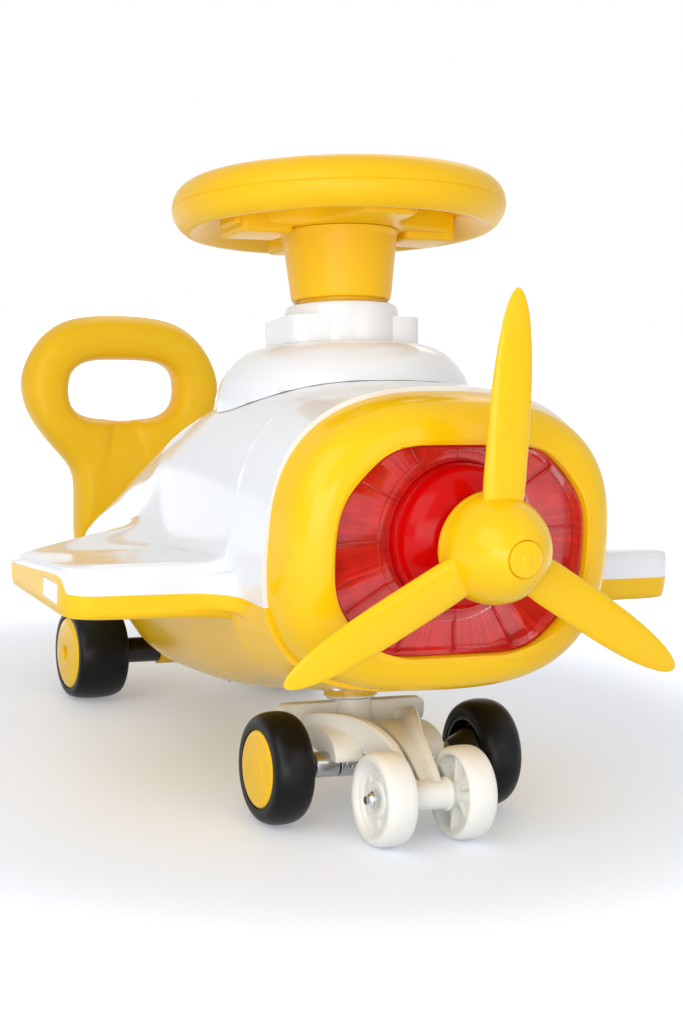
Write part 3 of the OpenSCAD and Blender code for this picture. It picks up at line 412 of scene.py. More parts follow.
def finished_copy(node, name, limit=30.0, round_by=None):
    """The CAD node's shape with merged faces, smooth shading and rounded edges."""
    bm = merged_copy(node)
    bmesh.ops.dissolve_limit(
        bm, angle_limit=math.radians(0.4), verts=bm.verts, edges=bm.edges, use_dissolve_boundaries=False
    )
    piece = new_piece(bm, name, node, limit)
    if round_by:
        bevel = piece.modifiers.new("Rounded edges", "BEVEL")
        bevel.width = round_by
        bevel.segments = 2
        bevel.limit_method = "ANGLE"
        bevel.angle_limit = math.radians(limit)
    return piece


def lofted_copy(node, name, limit=42.0, levels=2, soft=None):
    """A lofted CAD skin made fine: triangles paired, sharp edges creased, the rest subdivided.

    soft says for a vertex's place whether the skin is smoothed there.
    """
    bm = merged_copy(node)
    if soft:
        chosen = [v for v in bm.verts if soft(v.co)]
        for _ in range(10):
            bmesh.ops.smooth_vert(
                bm, verts=chosen, factor=0.5, use_axis_x=True, use_axis_y=True, use_axis_z=True
            )
    bmesh.ops.join_triangles(
        bm, faces=bm.faces, angle_face_threshold=math.radians(30), angle_shape_threshold=math.radians(60)
    )
    smooth_by_angle(bm, math.radians(limit))
    crease = bm.edges.layers.float.new("crease_edge")
    for edge in bm.edges:
        if not edge.smooth:
            edge[crease] = 1.0
    piece = add_piece(name, mesh_from(bm, name), node)
    fine = piece.modifiers.new("Fine surface", "SUBSURF")
    fine.levels = fine.render_levels = levels
    return piece


def along_y(x, z, y, side):
    """Puts a piece that was turned about Z on a wheel axis, with its top outwards."""
    return Matrix.Translation((x, side * y, z)) @ Matrix.Rotation(-side * math.pi / 2, 4, "X")


def along_x(x, z):
    """Puts a piece that was turned about Z on the nose's axis, with its top forwards."""
    return Matrix.Translation((x, 0, z)) @ Matrix.Rotation(math.pi / 2, 4, "Y")


def on_column():
    """Puts a piece that was turned about Z on the leaning steering column."""
    s = sizes()
    return Matrix.Translation((s.column_foot, 0, 0)) @ Matrix.Rotation(-s.column_tilt, 4, "Y")


def rounded(points, radius, steps=4, closed=False):
    """A line of points with its corners rounded."""
    made, n = [], len(points)
    for k, point in enumerate(points):
        if not closed and k in (0, n - 1):
            made.append(Vector(point))
            continue
        here, before, after = Vector(point), Vector(points[k - 1]), Vector(points[(k + 1) % n])
        cut = min(radius, 0.45 * (before - here).length, 0.45 * (after - here).length)
        a, b = here + (before - here).normalized() * cut, here + (after - here).normalized() * cut
        for t in range(steps + 1):
            f = t / steps
            made.append(a * (1 - f) ** 2 + here * 2 * f * (1 - f) + b * f * f)
    return made


def arc(middle, radii, start, end, steps):
    """Points of a round or oval arc between two angles in degrees."""
    turns = [math.radians(start + (end - start) * k / steps) for k in range(steps + 1)]
    return [(middle[0] + radii[0] * math.cos(a), middle[1] + radii[1] * math.sin(a)) for a in turns]


def in_mm(points):
    """Points given in millimetres."""
    return [Vector(p) * 0.001 for p in points]


def placed(bm, place):
    """Turns the faces outwards and puts the shape in its place."""
    bmesh.ops.recalc_face_normals(bm, faces=bm.faces)
    bmesh.ops.transform(bm, matrix=place, verts=bm.verts)
    return bm


def turned(profile, place, steps=96):
    """A profile of radius and height, spun about the axis of its place."""
    bm = bmesh.new()
    line = [bm.verts.new((p[0], 0, p[1])) for p in profile]
    pairs = list(zip(line, line[1:]))
    if max(profile[0][0], profile[-1][0]) > 1e-6:
        pairs.append((line[-1], line[0]))
    edges = [bm.edges.new(pair) for pair in pairs]
    bmesh.ops.spin(
        bm, geom=line + edges, cent=(0, 0, 0), axis=(0, 0, 1), angle=math.tau, steps=steps, use_merge=True
    )
    bmesh.ops.remove_doubles(bm, verts=bm.verts, dist=1e-6)
    return placed(bm, place)


def facing_x(x):
    """Stands an outline of Y and Z upright, with its thickness forwards from x."""
    return Matrix(((0, 0, 1, x), (1, 0, 0, 0), (0, 1, 0, 0), (0, 0, 0, 1)))


def facing_y(y):
    """Stands an outline of X and Z upright, with its thickness to the right from y."""
    return Matrix(((1, 0, 0, 0), (0, 0, -1, y), (0, 1, 0, 0), (0, 0, 0, 1)))


def lofted(rings, ring_shaped=False):
    """A closed skin through rings of points. A ring-shaped one ends where it starts, and has no end faces."""
    bm = bmesh.new()
    loops = []
    for ring in rings:
        verts = [bm.verts.new(p) for p in ring]
        loops.append([bm.edges.new((verts[k - 1], verts[k])) for k in range(len(verts))])
    for low, high in zip([loops[-1], *loops] if ring_shaped else loops, loops if ring_shaped else loops[1:]):
        bmesh.ops.bridge_loops(bm, edges=low + high)
    if not ring_shaped:
        for end in (loops[0], loops[-1]):
            bmesh.ops.edgeloop_fill(bm, edges=end)
    bmesh.ops.recalc_face_normals(bm, faces=bm.faces)
    return bm


def plate(outline, thickness, place):
    """A flat outline made into a solid of that thickness."""
    bm = bmesh.new()
    face = bm.faces.new([bm.verts.new((p[0], p[1], 0)) for p in outline])
    raised = bmesh.ops.extrude_face_region(bm, geom=[face])["geom"]
    top = [v for v in raised if isinstance(v, bmesh.types.BMVert)]
    bmesh.ops.translate(bm, verts=top, vec=(0, 0, thickness))
    return placed(bm, place)


def swept_block(inner, outer, low, high, start, sweep, place, steps=10):
    """A block that follows an arc, such as a kidney-shaped pad or the wall of a ring."""
    bm = bmesh.new()
    corners = [(inner, 0, low), (outer, 0, low), (outer, 0, high), (inner, 0, high)]
    face = bm.faces.new([bm.verts.new(c) for c in corners])
    bmesh.ops.rotate(bm, verts=bm.verts, cent=(0, 0, 0), matrix=Matrix.Rotation(start, 3, "Z"))
    geometry = [face, *face.edges, *face.verts]
    bmesh.ops.spin(bm, geom=geometry, cent=(0, 0, 0), axis=(0, 0, 1), angle=sweep, steps=steps)
    return placed(bm, place)


def softened(bm, width, segments=3, limit=32.0):
    """Bevels the sharp edges of a part."""
    sharp = [e for e in bm.edges if len(e.link_faces) == 2 and e.calc_face_angle(0) > math.radians(limit)]
    bmesh.ops.bevel(
        bm, geom=sharp, offset=width, affect="EDGES", segments=segments, profile=0.5, material=-1,
        clamp_overlap=True,
    )
    return bm


def together(*parts):
    """Several closed parts in one mesh."""
    bm = bmesh.new()
    for part in parts:
        mesh = mesh_from(part, "part")
        bm.from_mesh(mesh)
        bpy.data.meshes.remove(mesh)
    return bm


def new_piece(bm, name, node, limit=34.0):
    """A finished shape made into a piece, with the edges over the limit left sharp."""
    smooth_by_angle(bm, math.radians(limit))
    return add_piece(name, mesh_from(bm, name), node)


def camera_axes():
    """The camera's directions: where it looks, its right and its up."""
    s = stage_settings()
    look = Vector((
        -math.cos(s.camera_turn) * math.cos(s.camera_dip),
        math.sin(s.camera_turn) * math.cos(s.camera_dip),
        -math.sin(s.camera_dip),
    ))
    right = look.cross(Vector((0, 0, 1))).normalized()
    up = right.cross(look)
    leaning = right * math.cos(s.camera_roll) + up * math.sin(s.camera_roll)
    return look, leaning, leaning.cross(look)


# Operators --------------------------------------------------------------


class PieceOperator(bpy.types.Operator):
    bl_options = {"REGISTER", "UNDO"}


class SWINGCAR_OT_shells(PieceOperator):
    """Upper and lower fuselage shell, nose cowl and column cover"""

    bl_idname = "swing_car.shells"
    bl_label = "Fuselage"

    # Degrees below the level of the cowl's middle, and how far the corner is filled out there, in millimetres
    CORNER = (
        (0, 0), (10, 1.5), (20, 3.3), (30, 4.4), (40, 4.2), (50, 2.8), (60, 1.3), (70, 0.5), (80, 0), (90, 0),
    )
    COWL_MIDDLE = 0.205
    # Where the filled corner ends along the cowl, and over what length it fades in
    CORNER_END, CORNER_FADE = 0.323, 0.038
    # Where a wing's trailing edge runs into the roof: along the car, out from its middle, and in height
    WING_ROOT = ((-0.075, 0.060), (0.092, 0.135), (0.1745, 0.235))

    def wing_root(self, place):
        spans = zip((place.x, abs(place.y), place.z), self.WING_ROOT)
        return all(low < value < high for value, (low, high) in spans)

    def cowl_corner(self, place):
        """How far a point of the cowl's lower corners moves out towards the shell behind it."""
        y, z = abs(place.y), place.z - self.COWL_MIDDLE
        below = math.degrees(math.atan2(-z, y))
        if below <= 0 or place.x > self.CORNER_END:
            return Vector((0, 0, 0))
        low = max(k for k in range(len(self.CORNER) - 1) if self.CORNER[k][0] <= below)
        (a, p), (b, q) = self.CORNER[low], self.CORNER[low + 1]
        share = min(1.0, (self.CORNER_END - place.x) / self.CORNER_FADE)
        reach = (p + (q - p) * (below - a) / (b - a)) * 0.001 * share * share * (3 - 2 * share)
        return Vector((0, place.y, z)).normalized() * reach

    def close_seam(self, piece, node, near, left):
        """Brings the edge of a piece closer to the node that it stands on."""
        under = frame["nodes"][node].data
        tree = BVHTree.FromPolygons(
            [v.co.copy() for v in under.vertices], [list(f.vertices) for f in under.polygons]
        )
        for vertex in piece.data.vertices:
            spot, _, _, gap = tree.find_nearest(vertex.co)
            if left < gap < near:
                vertex.co += (spot - vertex.co).normalized() * (gap - left)

    def execute(self, context):
        lofted_copy("upper_shell", "upper_fuselage_shell", soft=self.wing_root)
        lofted_copy("lower_shell", "lower_fuselage_shell")
        cowl = lofted_copy("nose_cowl", "nose_cowl_ring")
        for vertex in cowl.data.vertices:
            vertex.co += self.cowl_corner(vertex.co)
        cover = finished_copy("column_cover", "column_cover_moulding")
        self.close_seam(cover, "upper_shell", 0.0016, 0.00012)
        finished_copy("wing_markers", "wing_tip_markers", round_by=sizes().edge_round)
        return {"FINISHED"}


class SWINGCAR_OT_handle(PieceOperator):
    """Blow-moulded grip handle behind the seat"""

    bl_idname = "swing_car.handle"
    bl_label = "Handle"

    def execute(self, context):
        lofted_copy("handle", "grip_handle", 60)
        return {"FINISHED"}


class SWINGCAR_OT_steering_wheel(PieceOperator):
    """Rim halves, hub cap and neck"""

    bl_idname = "swing_car.steering_wheel"
    bl_label = "Steering wheel"

    def half_rim(self, upper):
        """A half of the rim. The lower one ends in a rounded lip and is hollowed out towards the spokes."""
        s = sizes()
        r, h, tube = s.rim_radius, s.rim_height, s.rim_tube
        seam = (r + tube - 0.0006, h)
        if upper:
            ring = [seam, *arc((r, h), (tube, tube), 2, 178, 24), (r - tube + 0.0006, h)]
            ring += arc((r, h), (0.017, 0.017), 180, 0, 12)
        else:
            under = [(0.007, 0.0180), (0.004, 0.0168), (-0.002, 0.0135), (-0.009, 0.0085), (-0.015, 0.0040),
                     (-0.0194, 0.0006), (-0.0185, 0.0001), (-0.006, 0.0001), (0.006, 0.0110), (0.014, 0.0060),
                     (0.0165, 0.0001)]
            lip = [(r + out, h - down) for out, down in under]
            ring = [seam, *arc((r, h), (tube, -tube), 2, 62, 24), *lip]
        return turned(ring, on_column(), 160)

    def cross_outline(self, rim, hub, spoke, flare):
        """Four spokes that widen into a round hub."""
        quarter = [(rim, -spoke), (rim, spoke), (hub + 0.012, spoke + 0.002), (hub - 0.004, flare)]
        points = []
        for k in range(4):
            turn = Matrix.Rotation(k * math.pi / 2, 2)
            points += [turn @ Vector(p) for p in quarter]
            points.append(turn @ (Vector((hub, hub)) * 0.70))
        return rounded(points, 0.009, 5, closed=True)

    def execute(self, context):
        s = sizes()
        h, column = s.rim_height, on_column()
        wall = s.rim_radius - s.rim_tube + 0.002
        low = h - 0.018
        outline = self.cross_outline(wall + 0.004, 0.050, 0.019, 0.027)
        cross = plate(outline, 0.0175, column @ Matrix.Translation((0, 0, low)))
        spokes = []
        inner = 0.046
        for k, depth in enumerate((0.0165, 0.0235, 0.0235, 0.0235)):
            turn = Matrix.Rotation(k * math.pi / 2, 4, "Z")
            start = column @ turn @ Matrix.Translation((inner, 0, h - depth))
            reach = wall + 0.001 - inner
            outline = rounded([(0, -0.0200), (reach, -0.0215), (reach, 0.0215), (0, 0.0200)], 0.005, 4, True)
            spokes.append(softened(plate(outline, depth - 0.004, start), 0.0028))
        lower = together(self.half_rim(False), softened(cross, 0.0030), *spokes)
        new_piece(lower, "rim_lower_half", "rim_bottom", 40)

        outline = self.cross_outline(wall - 0.001, 0.054, 0.024, 0.030)
        cover = plate(outline, 0.009, column @ Matrix.Translation((0, 0, h)))
        edge = [(wall - 0.003, h), (wall, h), (wall, h + 0.009), (wall - 0.003, h + 0.009)]
        upper_ring = turned(rounded(edge, 0.001, 3, closed=True), column)
        upper = together(self.half_rim(True), upper_ring, softened(cover, 0.002))
        new_piece(upper, "rim_upper_half", "rim_top", 40)

        cap = [(0, 0.0135), (0.018, 0.0130), (0.029, 0.0112), (0.0338, 0.0085), (0.0340, 0.0060),
               (0.0340, 0.0002), (0.031, 0.0002), (0.031, 0.006), (0, 0.009)]
        cap = turned(rounded([(r, h + z) for r, z in cap], 0.0012), column)
        new_piece(cap, "steering_wheel_cap", "wheel_cap")

        bottom, top = 0.3692, low - 0.0002
        neck = [
            (0.0450, top), (0.0428, top - 0.0045), (0.0376, bottom + 0.0040), (0.0366, bottom + 0.0008),
            (0.0335, bottom + 0.0008), (0.0325, bottom + 0.0022), (0.0322, bottom - 0.0014),
            (0.0312, bottom - 0.0018), (0.0071, bottom - 0.0018), (0.0071, bottom + 0.0090),
            (0.0330, bottom + 0.0090), (0.0390, top - 0.0050), (0.0300, top),
        ]
        neck = turned(rounded(neck, 0.0016, 4, closed=True), column)
        new_piece(neck, "steering_neck_cone", "steering_neck", 40)
        return {"FINISHED"}


class SWINGCAR_OT_nose(PieceOperator):
    """Lens, reflector, red dome and propeller"""

    bl_idname = "swing_car.nose"
    bl_label = "Nose"

    OPENING_MIDDLE = 0.211
    LENS_FRONT = 0.3122
    DOME_BACK = 0.3072
    SPINNER_BACK = 0.356

    def opening(self, angle, inset):
        """The lens opening's outline: a square with its corners cut off and rounded."""
        a, b = 0.095 - inset, 0.071 - inset
        c, d = math.cos(angle), math.sin(angle)
        side = ((abs(c) / a) ** 16 + (abs(d) / b) ** 16) ** (-1 / 16)
        corner = (a + b - 0.038) / (abs(c) + abs(d))
        r = (side ** -16 + corner ** -16) ** (-1 / 16)
        return r * c, self.OPENING_MIDDLE + r * d

    def opening_ring(self, x, inset, steps=120):
        return [Vector((x, *self.opening(math.tau * k / steps, inset))) for k in range(steps)]

    def round_ring(self, x, radius, steps=120):
        """A circle about the nose's axis, with its points in line with those of the opening."""
        ring = arc((0, sizes().nose_axis), (radius, radius), 0, 360, steps)
        return [Vector((x, y, z)) for y, z in ring[:-1]]

    def lens(self):
        """A shallow tray with a step around the dome and twelve ribs."""
        s = sizes()
        front, hole = self.LENS_FRONT, s.dome_radius + 0.0004
        floor, back = front - 0.0048, front - 0.0062
        walls = ((back, 0.0004), (front + 0.0050, 0.0004), (front + 0.0054, 0.0010), (front + 0.0050, 0.0018),
                 (floor + 0.0008, 0.0024), (floor, 0.0034))
        step = ((floor, 0.0600), (floor + 0.0002, 0.0590), (floor + 0.0012, 0.0586), (floor + 0.0014, 0.0580),
                (floor + 0.0014, hole + 0.0008), (floor + 0.0010, hole))
        rings = [self.round_ring(back, hole)]
        rings += [self.opening_ring(x, inset) for x, inset in walls]
        rings += [self.round_ring(x, radius) for x, radius in step]
        ribs = []
        place = along_x(floor - 0.0004, s.nose_axis)
        start = s.dome_radius + 0.002
        for k in range(12):
            turn = Matrix.Rotation(math.radians(30 * k + 3), 4, "Z")
            reach = self.rib_reach(turn)
            outline = [(start, -0.0007), (reach, -0.0009), (reach, 0.0009), (start, 0.0007)]
            ribs.append(softened(plate(outline, 0.0026, place @ turn), 0.0004, 2))
        return together(lofted(rings, ring_shaped=True), *ribs)

    def rib_reach(self, turn):
        """How far a rib runs before it meets the tray's wall."""
        way = along_x(0, 0).to_3x3() @ (turn.to_3x3() @ Vector((1, 0, 0)))
        rise = sizes().nose_axis - self.OPENING_MIDDLE
        reach = 0.06
        while reach < 0.11:
            y, z = way.y * reach, rise + way.z * reach
            wall = Vector(self.opening(math.atan2(z, y), 0.003)) - Vector((0, self.OPENING_MIDDLE))
            if Vector((y, z)).length > wall.length:
                break
            reach += 0.0005
        return reach

    def blade(self, turn):
        """An almost flat, leaf-shaped blade with a lens-shaped section and a pointed tip."""
        s = sizes()
        root = s.spinner_radius - 0.012
        rings = []
        for k in range(26):
            t = min(1 - (1 - k / 25) ** 1.8, 0.9992)
            r = root + (s.blade_reach - root) * t
            end = max(0.0, 1 - (max(0.0, t - 0.3) / 0.7) ** 2.6) ** 0.52
            chord, thick = (0.0303 - 0.003 * max(0.0, 0.1 - t) * 10) * end, (0.0140 - 0.0060 * t) * end
            twist = Matrix.Rotation(math.radians(-3 + 5 * t), 2)
            ring = []
            for i in range(28):
                a = math.tau * i / 28
                u, v = chord / 2 * math.cos(a), thick / 2 * math.sin(a) + chord * 0.05 * math.cos(a) ** 2
                ring.append(turn @ Vector((*(twist @ Vector((v, u))), r)))
            rings.append(ring)
        return lofted(rings)

    def execute(self, context):
        s = sizes()
        new_piece(self.lens(), "ribbed_lens", "lens", 30)
        finished_copy("reflector", "lens_reflector")

        r = s.dome_radius
        turns = [math.radians(5 + 84.9 * k / 30) for k in range(31)]
        dome = [(0.0051, 0.034), *[(r * math.sin(a), 0.005 + 0.029 * math.cos(a) ** 0.85) for a in turns],
                (r, 0.004), (r, 0), (r - 0.004, 0), (r - 0.0045, 0.006), (0.037, 0.024), (0.009, 0.029),
                (0.009, 0.004), (0.0051, 0.004)]
        dome = turned(dome, along_x(self.DOME_BACK, s.nose_axis), 120)
        new_piece(dome, "red_dome", "hub_dome", 40)

        x, r = self.SPINNER_BACK, s.spinner_radius
        seat, bore = 0.0122, 0.00505
        cone = [point for point in arc((0, 0), (r, 0.046), 0, 72, 36) if point[0] > seat]
        spinner = [(r - 0.0006, 0), (r, 0.0006), *cone[1:], (seat + 0.0006, 0.0435), (seat, 0.0428),
                   (seat, 0.022), (bore, 0.022), (bore, 0)]
        middle = Matrix.Translation((x + 0.009, 0, s.nose_axis))
        blades = [self.blade(middle @ Matrix.Rotation(math.radians(120 * k - 0.5), 4, "X")) for k in range(3)]
        mesh = together(turned(spinner, along_x(x, s.nose_axis), 120), *blades)
        new_piece(mesh, "three_blade_propeller", "propeller", 40)

        ring = [(bore, 0), (r - 0.003, 0), (r, 0.002), (r, 0.0064), (r - 0.0006, 0.0069), (bore, 0.0069)]
        ring = turned(rounded(ring, 0.0005, 3, closed=True), along_x(x - 0.007, s.nose_axis), 120)
        new_piece(ring, "spinner_ring", "propeller_ring")

        plug = [(0, 0.0190), (0.0028, 0.01885), (0.0034, 0.0183), (0.0062, 0.0181), (0.0112, 0.0174),
                (0.0120, 0.0166), (0.0120, 0), (0, 0)]
        plug = turned(rounded(plug, 0.0005, 4), along_x(x + 0.028, s.nose_axis), 72)
        new_piece(plug, "spinner_plug", "nose_plug", 24)
        return {"FINISHED"}


class SWINGCAR_OT_carrier(PieceOperator):
    """Arched carrier under the column, with its rollers and their bolt"""

    bl_idname = "swing_car.carrier"
    bl_label = "Carrier"

    # Along the carrier, in millimetres: place in front of the axle, half width, top of the ribs, underside
    ROWS = (
        (-78, 12, 56, 44), (-70, 27, 60, 46), (-60, 36, 62, 47), (-50, 42, 63.5, 47), (-42, 44, 66, 48),
        (-30, 42, 70, 51), (-20, 38, 72, 53), (-10, 33, 73.5, 54), (0, 28.5, 74, 55), (10, 24, 73, 54),
        (20, 20.5, 71, 52), (30, 17.6, 68, 49), (40, 16, 64, 45), (50, 14.5, 58, 39), (60, 13.5, 51, 31),
        (67, 12.5, 46, 24), (72, 12, 42, 24),
    )

    def arch(self):
        """The channel that is open below, with a rib along each upper edge."""
        rings = []
        for place, out, top, foot in self.ROWS:
            k = min(1, out / 16)
            web = max(top - 9, foot + 5)
            side = out - 5 * k
            half = [(out, foot), (out, top - 1.5), (out - 1.4 * k, top), (out - 6.2 * k, top),
                    (out - 7.6 * k, top - 1.5), (out - 9.5 * k, web + 1.5), (out - 11.5 * k, web), (0, web),
                    (0, web - 4), (side * 0.7, web - 4), (side - 0.1, web - 5), (side, foot)]
            ring = half + [(-y, z) for y, z in reversed(half) if y > 0.01]
            x = sizes().front_axle * 1000 + place
            rings.append([Vector((x, y, z)) * 0.001 for y, z in ring])
        return softened(lofted(rings), 0.0009, 2, 38)

    def roller_place(self, side):
        s = sizes()
        return along_y(s.roller_axle, s.roller_radius, s.roller_track, side)

    def roller(self, side, name):
        """A small roller: thick rounded rim, dished outer face with pads, webs on the inner side."""
        place = self.roller_place(side)
        rim = in_mm([
            (3.05, -11.5), (8.5, -11.5), (9.2, -3), (11, -1), (24, 0), (25.6, -1.5), (26.3, -8.5),
            (27.4, -10.4), (29.4, -11.4), (31.4, -10.2), (32.6, -7), (33, -3), (33, 3), (32.6, 7), (31.2, 10),
            (28.8, 11.4), (26.2, 11.3), (24.3, 10.0), (23.0, 8.0), (21.4, 7.4), (20.4, 5.2), (12.8, 4.9),
            (11.6, 6.5), (8.8, 6.5), (8.0, 5.6), (3.05, 5.6),
        ])
        parts = [turned(rounded(rim, 0.0012, 3, closed=True), place)]
        for k in range(6):
            a = math.radians(60 * k + 12)
            pad = swept_block(0.0138, 0.0194, 0.0035, 0.0060, a, math.radians(38), place, 8)
            turn = Matrix.Rotation(a + math.radians(19), 4, "Z")
            start = place @ turn @ Matrix.Translation((0.0080, -0.0014, -0.0080))
            web = plate(in_mm([(0, 0), (19, 0), (19, 2.8), (0, 2.8)]), 0.0080, start)
            parts += [softened(pad, 0.0008, 3), softened(web, 0.0007, 2)]
        new_piece(together(*parts), "small_roller_" + name, "roller_" + name)

    def strap(self, side):
        """A strap round the axle, its sleeve towards the hub, and the ear that is screwed to the carrier."""
        s = sizes()
        track = 0.0285
        place = along_y(s.front_axle, s.wheel_radius, track, side)
        band = [(6.2, -7.5), (9.6, -7.5), (9.6, 7.5), (6.2, 7.5)]
        sleeve = [(5.1, 8.4), (8.6, 8.4), (9.2, 9), (9.2, 26.2), (8.6, 26.8), (5.1, 26.8)]
        outline = [(-15, -7.5), (15, -7.5), (15, 7.5), (-15, 7.5)]
        ear = Matrix.Translation((s.front_axle, side * track, 0.0423))
        return [
            turned(rounded(in_mm(band), 0.0006, 3, closed=True), place, 64),
            turned(rounded(in_mm(sleeve), 0.0004, 3, closed=True), place, 64),
            softened(plate(in_mm(rounded(outline, 3, 4, closed=True)), 0.0021, ear), 0.0004),
        ]

    def nut(self, side):
        """A six-sided nut with a flange and a domed end."""
        place = self.roller_place(side)
        bm = bmesh.new()
        bmesh.ops.create_cone(bm, cap_ends=True, segments=6, radius1=0.0066, radius2=0.0066, depth=0.0036)
        bmesh.ops.transform(bm, matrix=place @ Matrix.Translation((0, 0, 0.0078)), verts=bm.verts)
        dome = [(0, 13.4), (1.6, 13.2), (3.4, 12.4), (4.6, 11.2), (5.0, 10.4), (5.0, 9.9), (4.2, 9.6),
                (4.2, 8), (0, 8)]
        return [softened(bm, 0.0005, 3), turned(rounded(in_mm(dome), 0.0004, 3), place, 48)]

    def arm(self, y):
        """The block on the carrier that holds an axle clamp."""
        outline = [(-36, 50), (-32, 61), (-14, 63), (2, 61), (12, 55), (15, 47), (15, 44.5), (-15, 44.5),
                   (-30, 47)]
        outline = [(x + sizes().front_axle * 1000, z) for x, z in outline]
        return softened(plate(in_mm(rounded(outline, 4, 4, closed=True)), 0.022, facing_y(y)), 0.0014)

    def execute(self, context):
        s = sizes()
        post = in_mm(rounded([(7.1, 50), (15, 50), (15, 73.5), (7.1, 73.5)], 0.6, 3, closed=True))
        outline = [(-60, 56), (-60, 68), (-56, 71.5), (56, 71.5), (60, 68), (60, 56), (52, 50), (-52, 50)]
        back = plate(in_mm(rounded(outline, 3, 4, closed=True)), 0.009, facing_x(0.162))
        tube = [(3.1, -19), (11.2, -19), (12, -18.2), (12, -16.6), (11.2, -16), (10.7, -15), (10.7, 15),
                (11.2, 16), (12, 16.6), (12, 18.2), (11.2, 19), (3.1, 19)]
        mesh = together(
            self.arch(), turned(post, on_column()), softened(back, 0.0014), self.arm(-0.022), self.arm(0.044),
            turned(in_mm(tube), along_y(s.roller_axle, s.roller_radius, 0, 1), 72),
        )
        new_piece(mesh, "arched_carrier", "front_carrier", 38)
        straps = together(*self.strap(-1), *self.strap(1))
        new_piece(straps, "steel_axle_straps", "axle_clamps")
        self.roller(-1, "right")
        self.roller(1, "left")
        nuts = together(*self.nut(-1), *self.nut(1))
        new_piece(nuts, "bright_dome_nuts", "roller_nuts")
        return {"FINISHED"}


class SWINGCAR_OT_wheels(PieceOperator):
    """Tyres, hubs and caps of the four road wheels"""

    bl_idname = "swing_car.wheels"
    bl_label = "Road wheels"

    def tyre(self, bead, width):
        """Section of a tyre, from its inner bead over the tread to the outer bead."""
        top = sizes().wheel_radius * 1000
        line = []
        for k in range(31):
            a = math.radians(-90 + 6 * k)
            across = math.copysign(abs(math.sin(a)) ** 0.92, a) * width / 2
            line.append((bead + (top - bead) * max(0.0, math.cos(a)) ** 0.78, across))
        return in_mm([*line, (bead - 3, width / 2), (bead - 3, -width / 2)])

    def execute(self, context):
        s = sizes()
        f, b = 15, 22  # half widths of a front and a rear tyre, in millimetres
        front = {
            "tyre": self.tyre(31, 2 * f),
            "hub": in_mm([(5.05, -27.5), (10, -27.5), (12, -26), (20, -f + 3), (20, -2), (25, -2),
                          (25, -f + 0.5), (27.9, -f + 0.5), (27.9, f - 3.5), (25, f - 3.5), (25, 8),
                          (5.05, 8)]),
            "cap": in_mm([(0, f + 2.1), (11.8, f + 1.9), (12.5, f + 1.4), (20, f + 1.2), (25, f + 0.7),
                          (27, f - 0.3), (27.8, f - 1.4), (27.8, f - 3.3), (0, f - 3.3)]),
        }
        rear = {
            "tyre": self.tyre(34, 2 * b),
            "hub": in_mm([(5.05, -b - 6), (10, -b - 6), (11, -b - 5), (11, -b + 4), (26, -b + 4),
                          (26, -b + 1), (30.9, -b + 1), (30.9, b - 3.5), (26, b - 3.5), (26, 14), (5.05, 14)]),
            "cap": in_mm([(5.6, b + 1.2), (6.2, b + 2.6), (8, b + 3), (14, b + 2.7), (25, b + 1.6), (29.4, b),
                          (30.8, b - 1.4), (30.8, b - 3.3), (5.6, b - 3.3)]),
        }
        ends = (("front", s.front_axle, s.front_track, front), ("rear", s.rear_axle, s.rear_track, rear))
        for end, x, track, parts in ends:
            for side, name in ((1, "left"), (-1, "right")):
                for part, profile in parts.items():
                    node = f"{end}_{part}_{name}"
                    closed = profile[0][0] > 1e-6
                    line = profile if part == "tyre" else rounded(profile, 0.0007, 4, closed=closed)
                    wheel = turned(line, along_y(x, s.wheel_radius, track, side), 120)
                    new_piece(wheel, node + "_moulding", node, 40)
        return {"FINISHED"}


class SWINGCAR_OT_hardware(PieceOperator):
    """Axles, shafts, bushes, nuts and screws"""

    bl_idname = "swing_car.hardware"
    bl_label = "Hardware"

    def execute(self, context):
        shown = {n for o in bpy.data.objects for n in o.get("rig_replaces", [])}
        for node in sorted(set(frame["nodes"]) - shown):
            finished_copy(node, node + "_finished", round_by=sizes().metal_round)
        return {"FINISHED"}


def soft_box(name, place, target, width, height, power):
    """A lamp with a rectangular face, aimed at a point."""
    data = bpy.data.lights.new(name, "AREA")
    data.shape = "RECTANGLE"
    data.size, data.size_y = width, height
    data.energy = power
    lamp = bpy.data.objects.new(name, data)
    bpy.context.scene.collection.objects.link(lamp)
    lamp.location = place
    lamp.rotation_euler = (Vector(target) - Vector(place)).to_track_quat("-Z", "Y").to_euler()


def seen_rays(nodes, links):
    """1 for rays from the camera and for those that reflect or pass through a piece."""
    path = nodes.new("ShaderNodeLightPath")
    total = path.outputs["Is Camera Ray"]
    for name in ("Is Glossy Ray", "Is Transmission Ray"):
        either = add_node(nodes, "ShaderNodeMath", operation="MAXIMUM")
        connect(links, (total, either.inputs[0]), (path.outputs[name], either.inputs[1]))
        total = either.outputs[0]
    return total


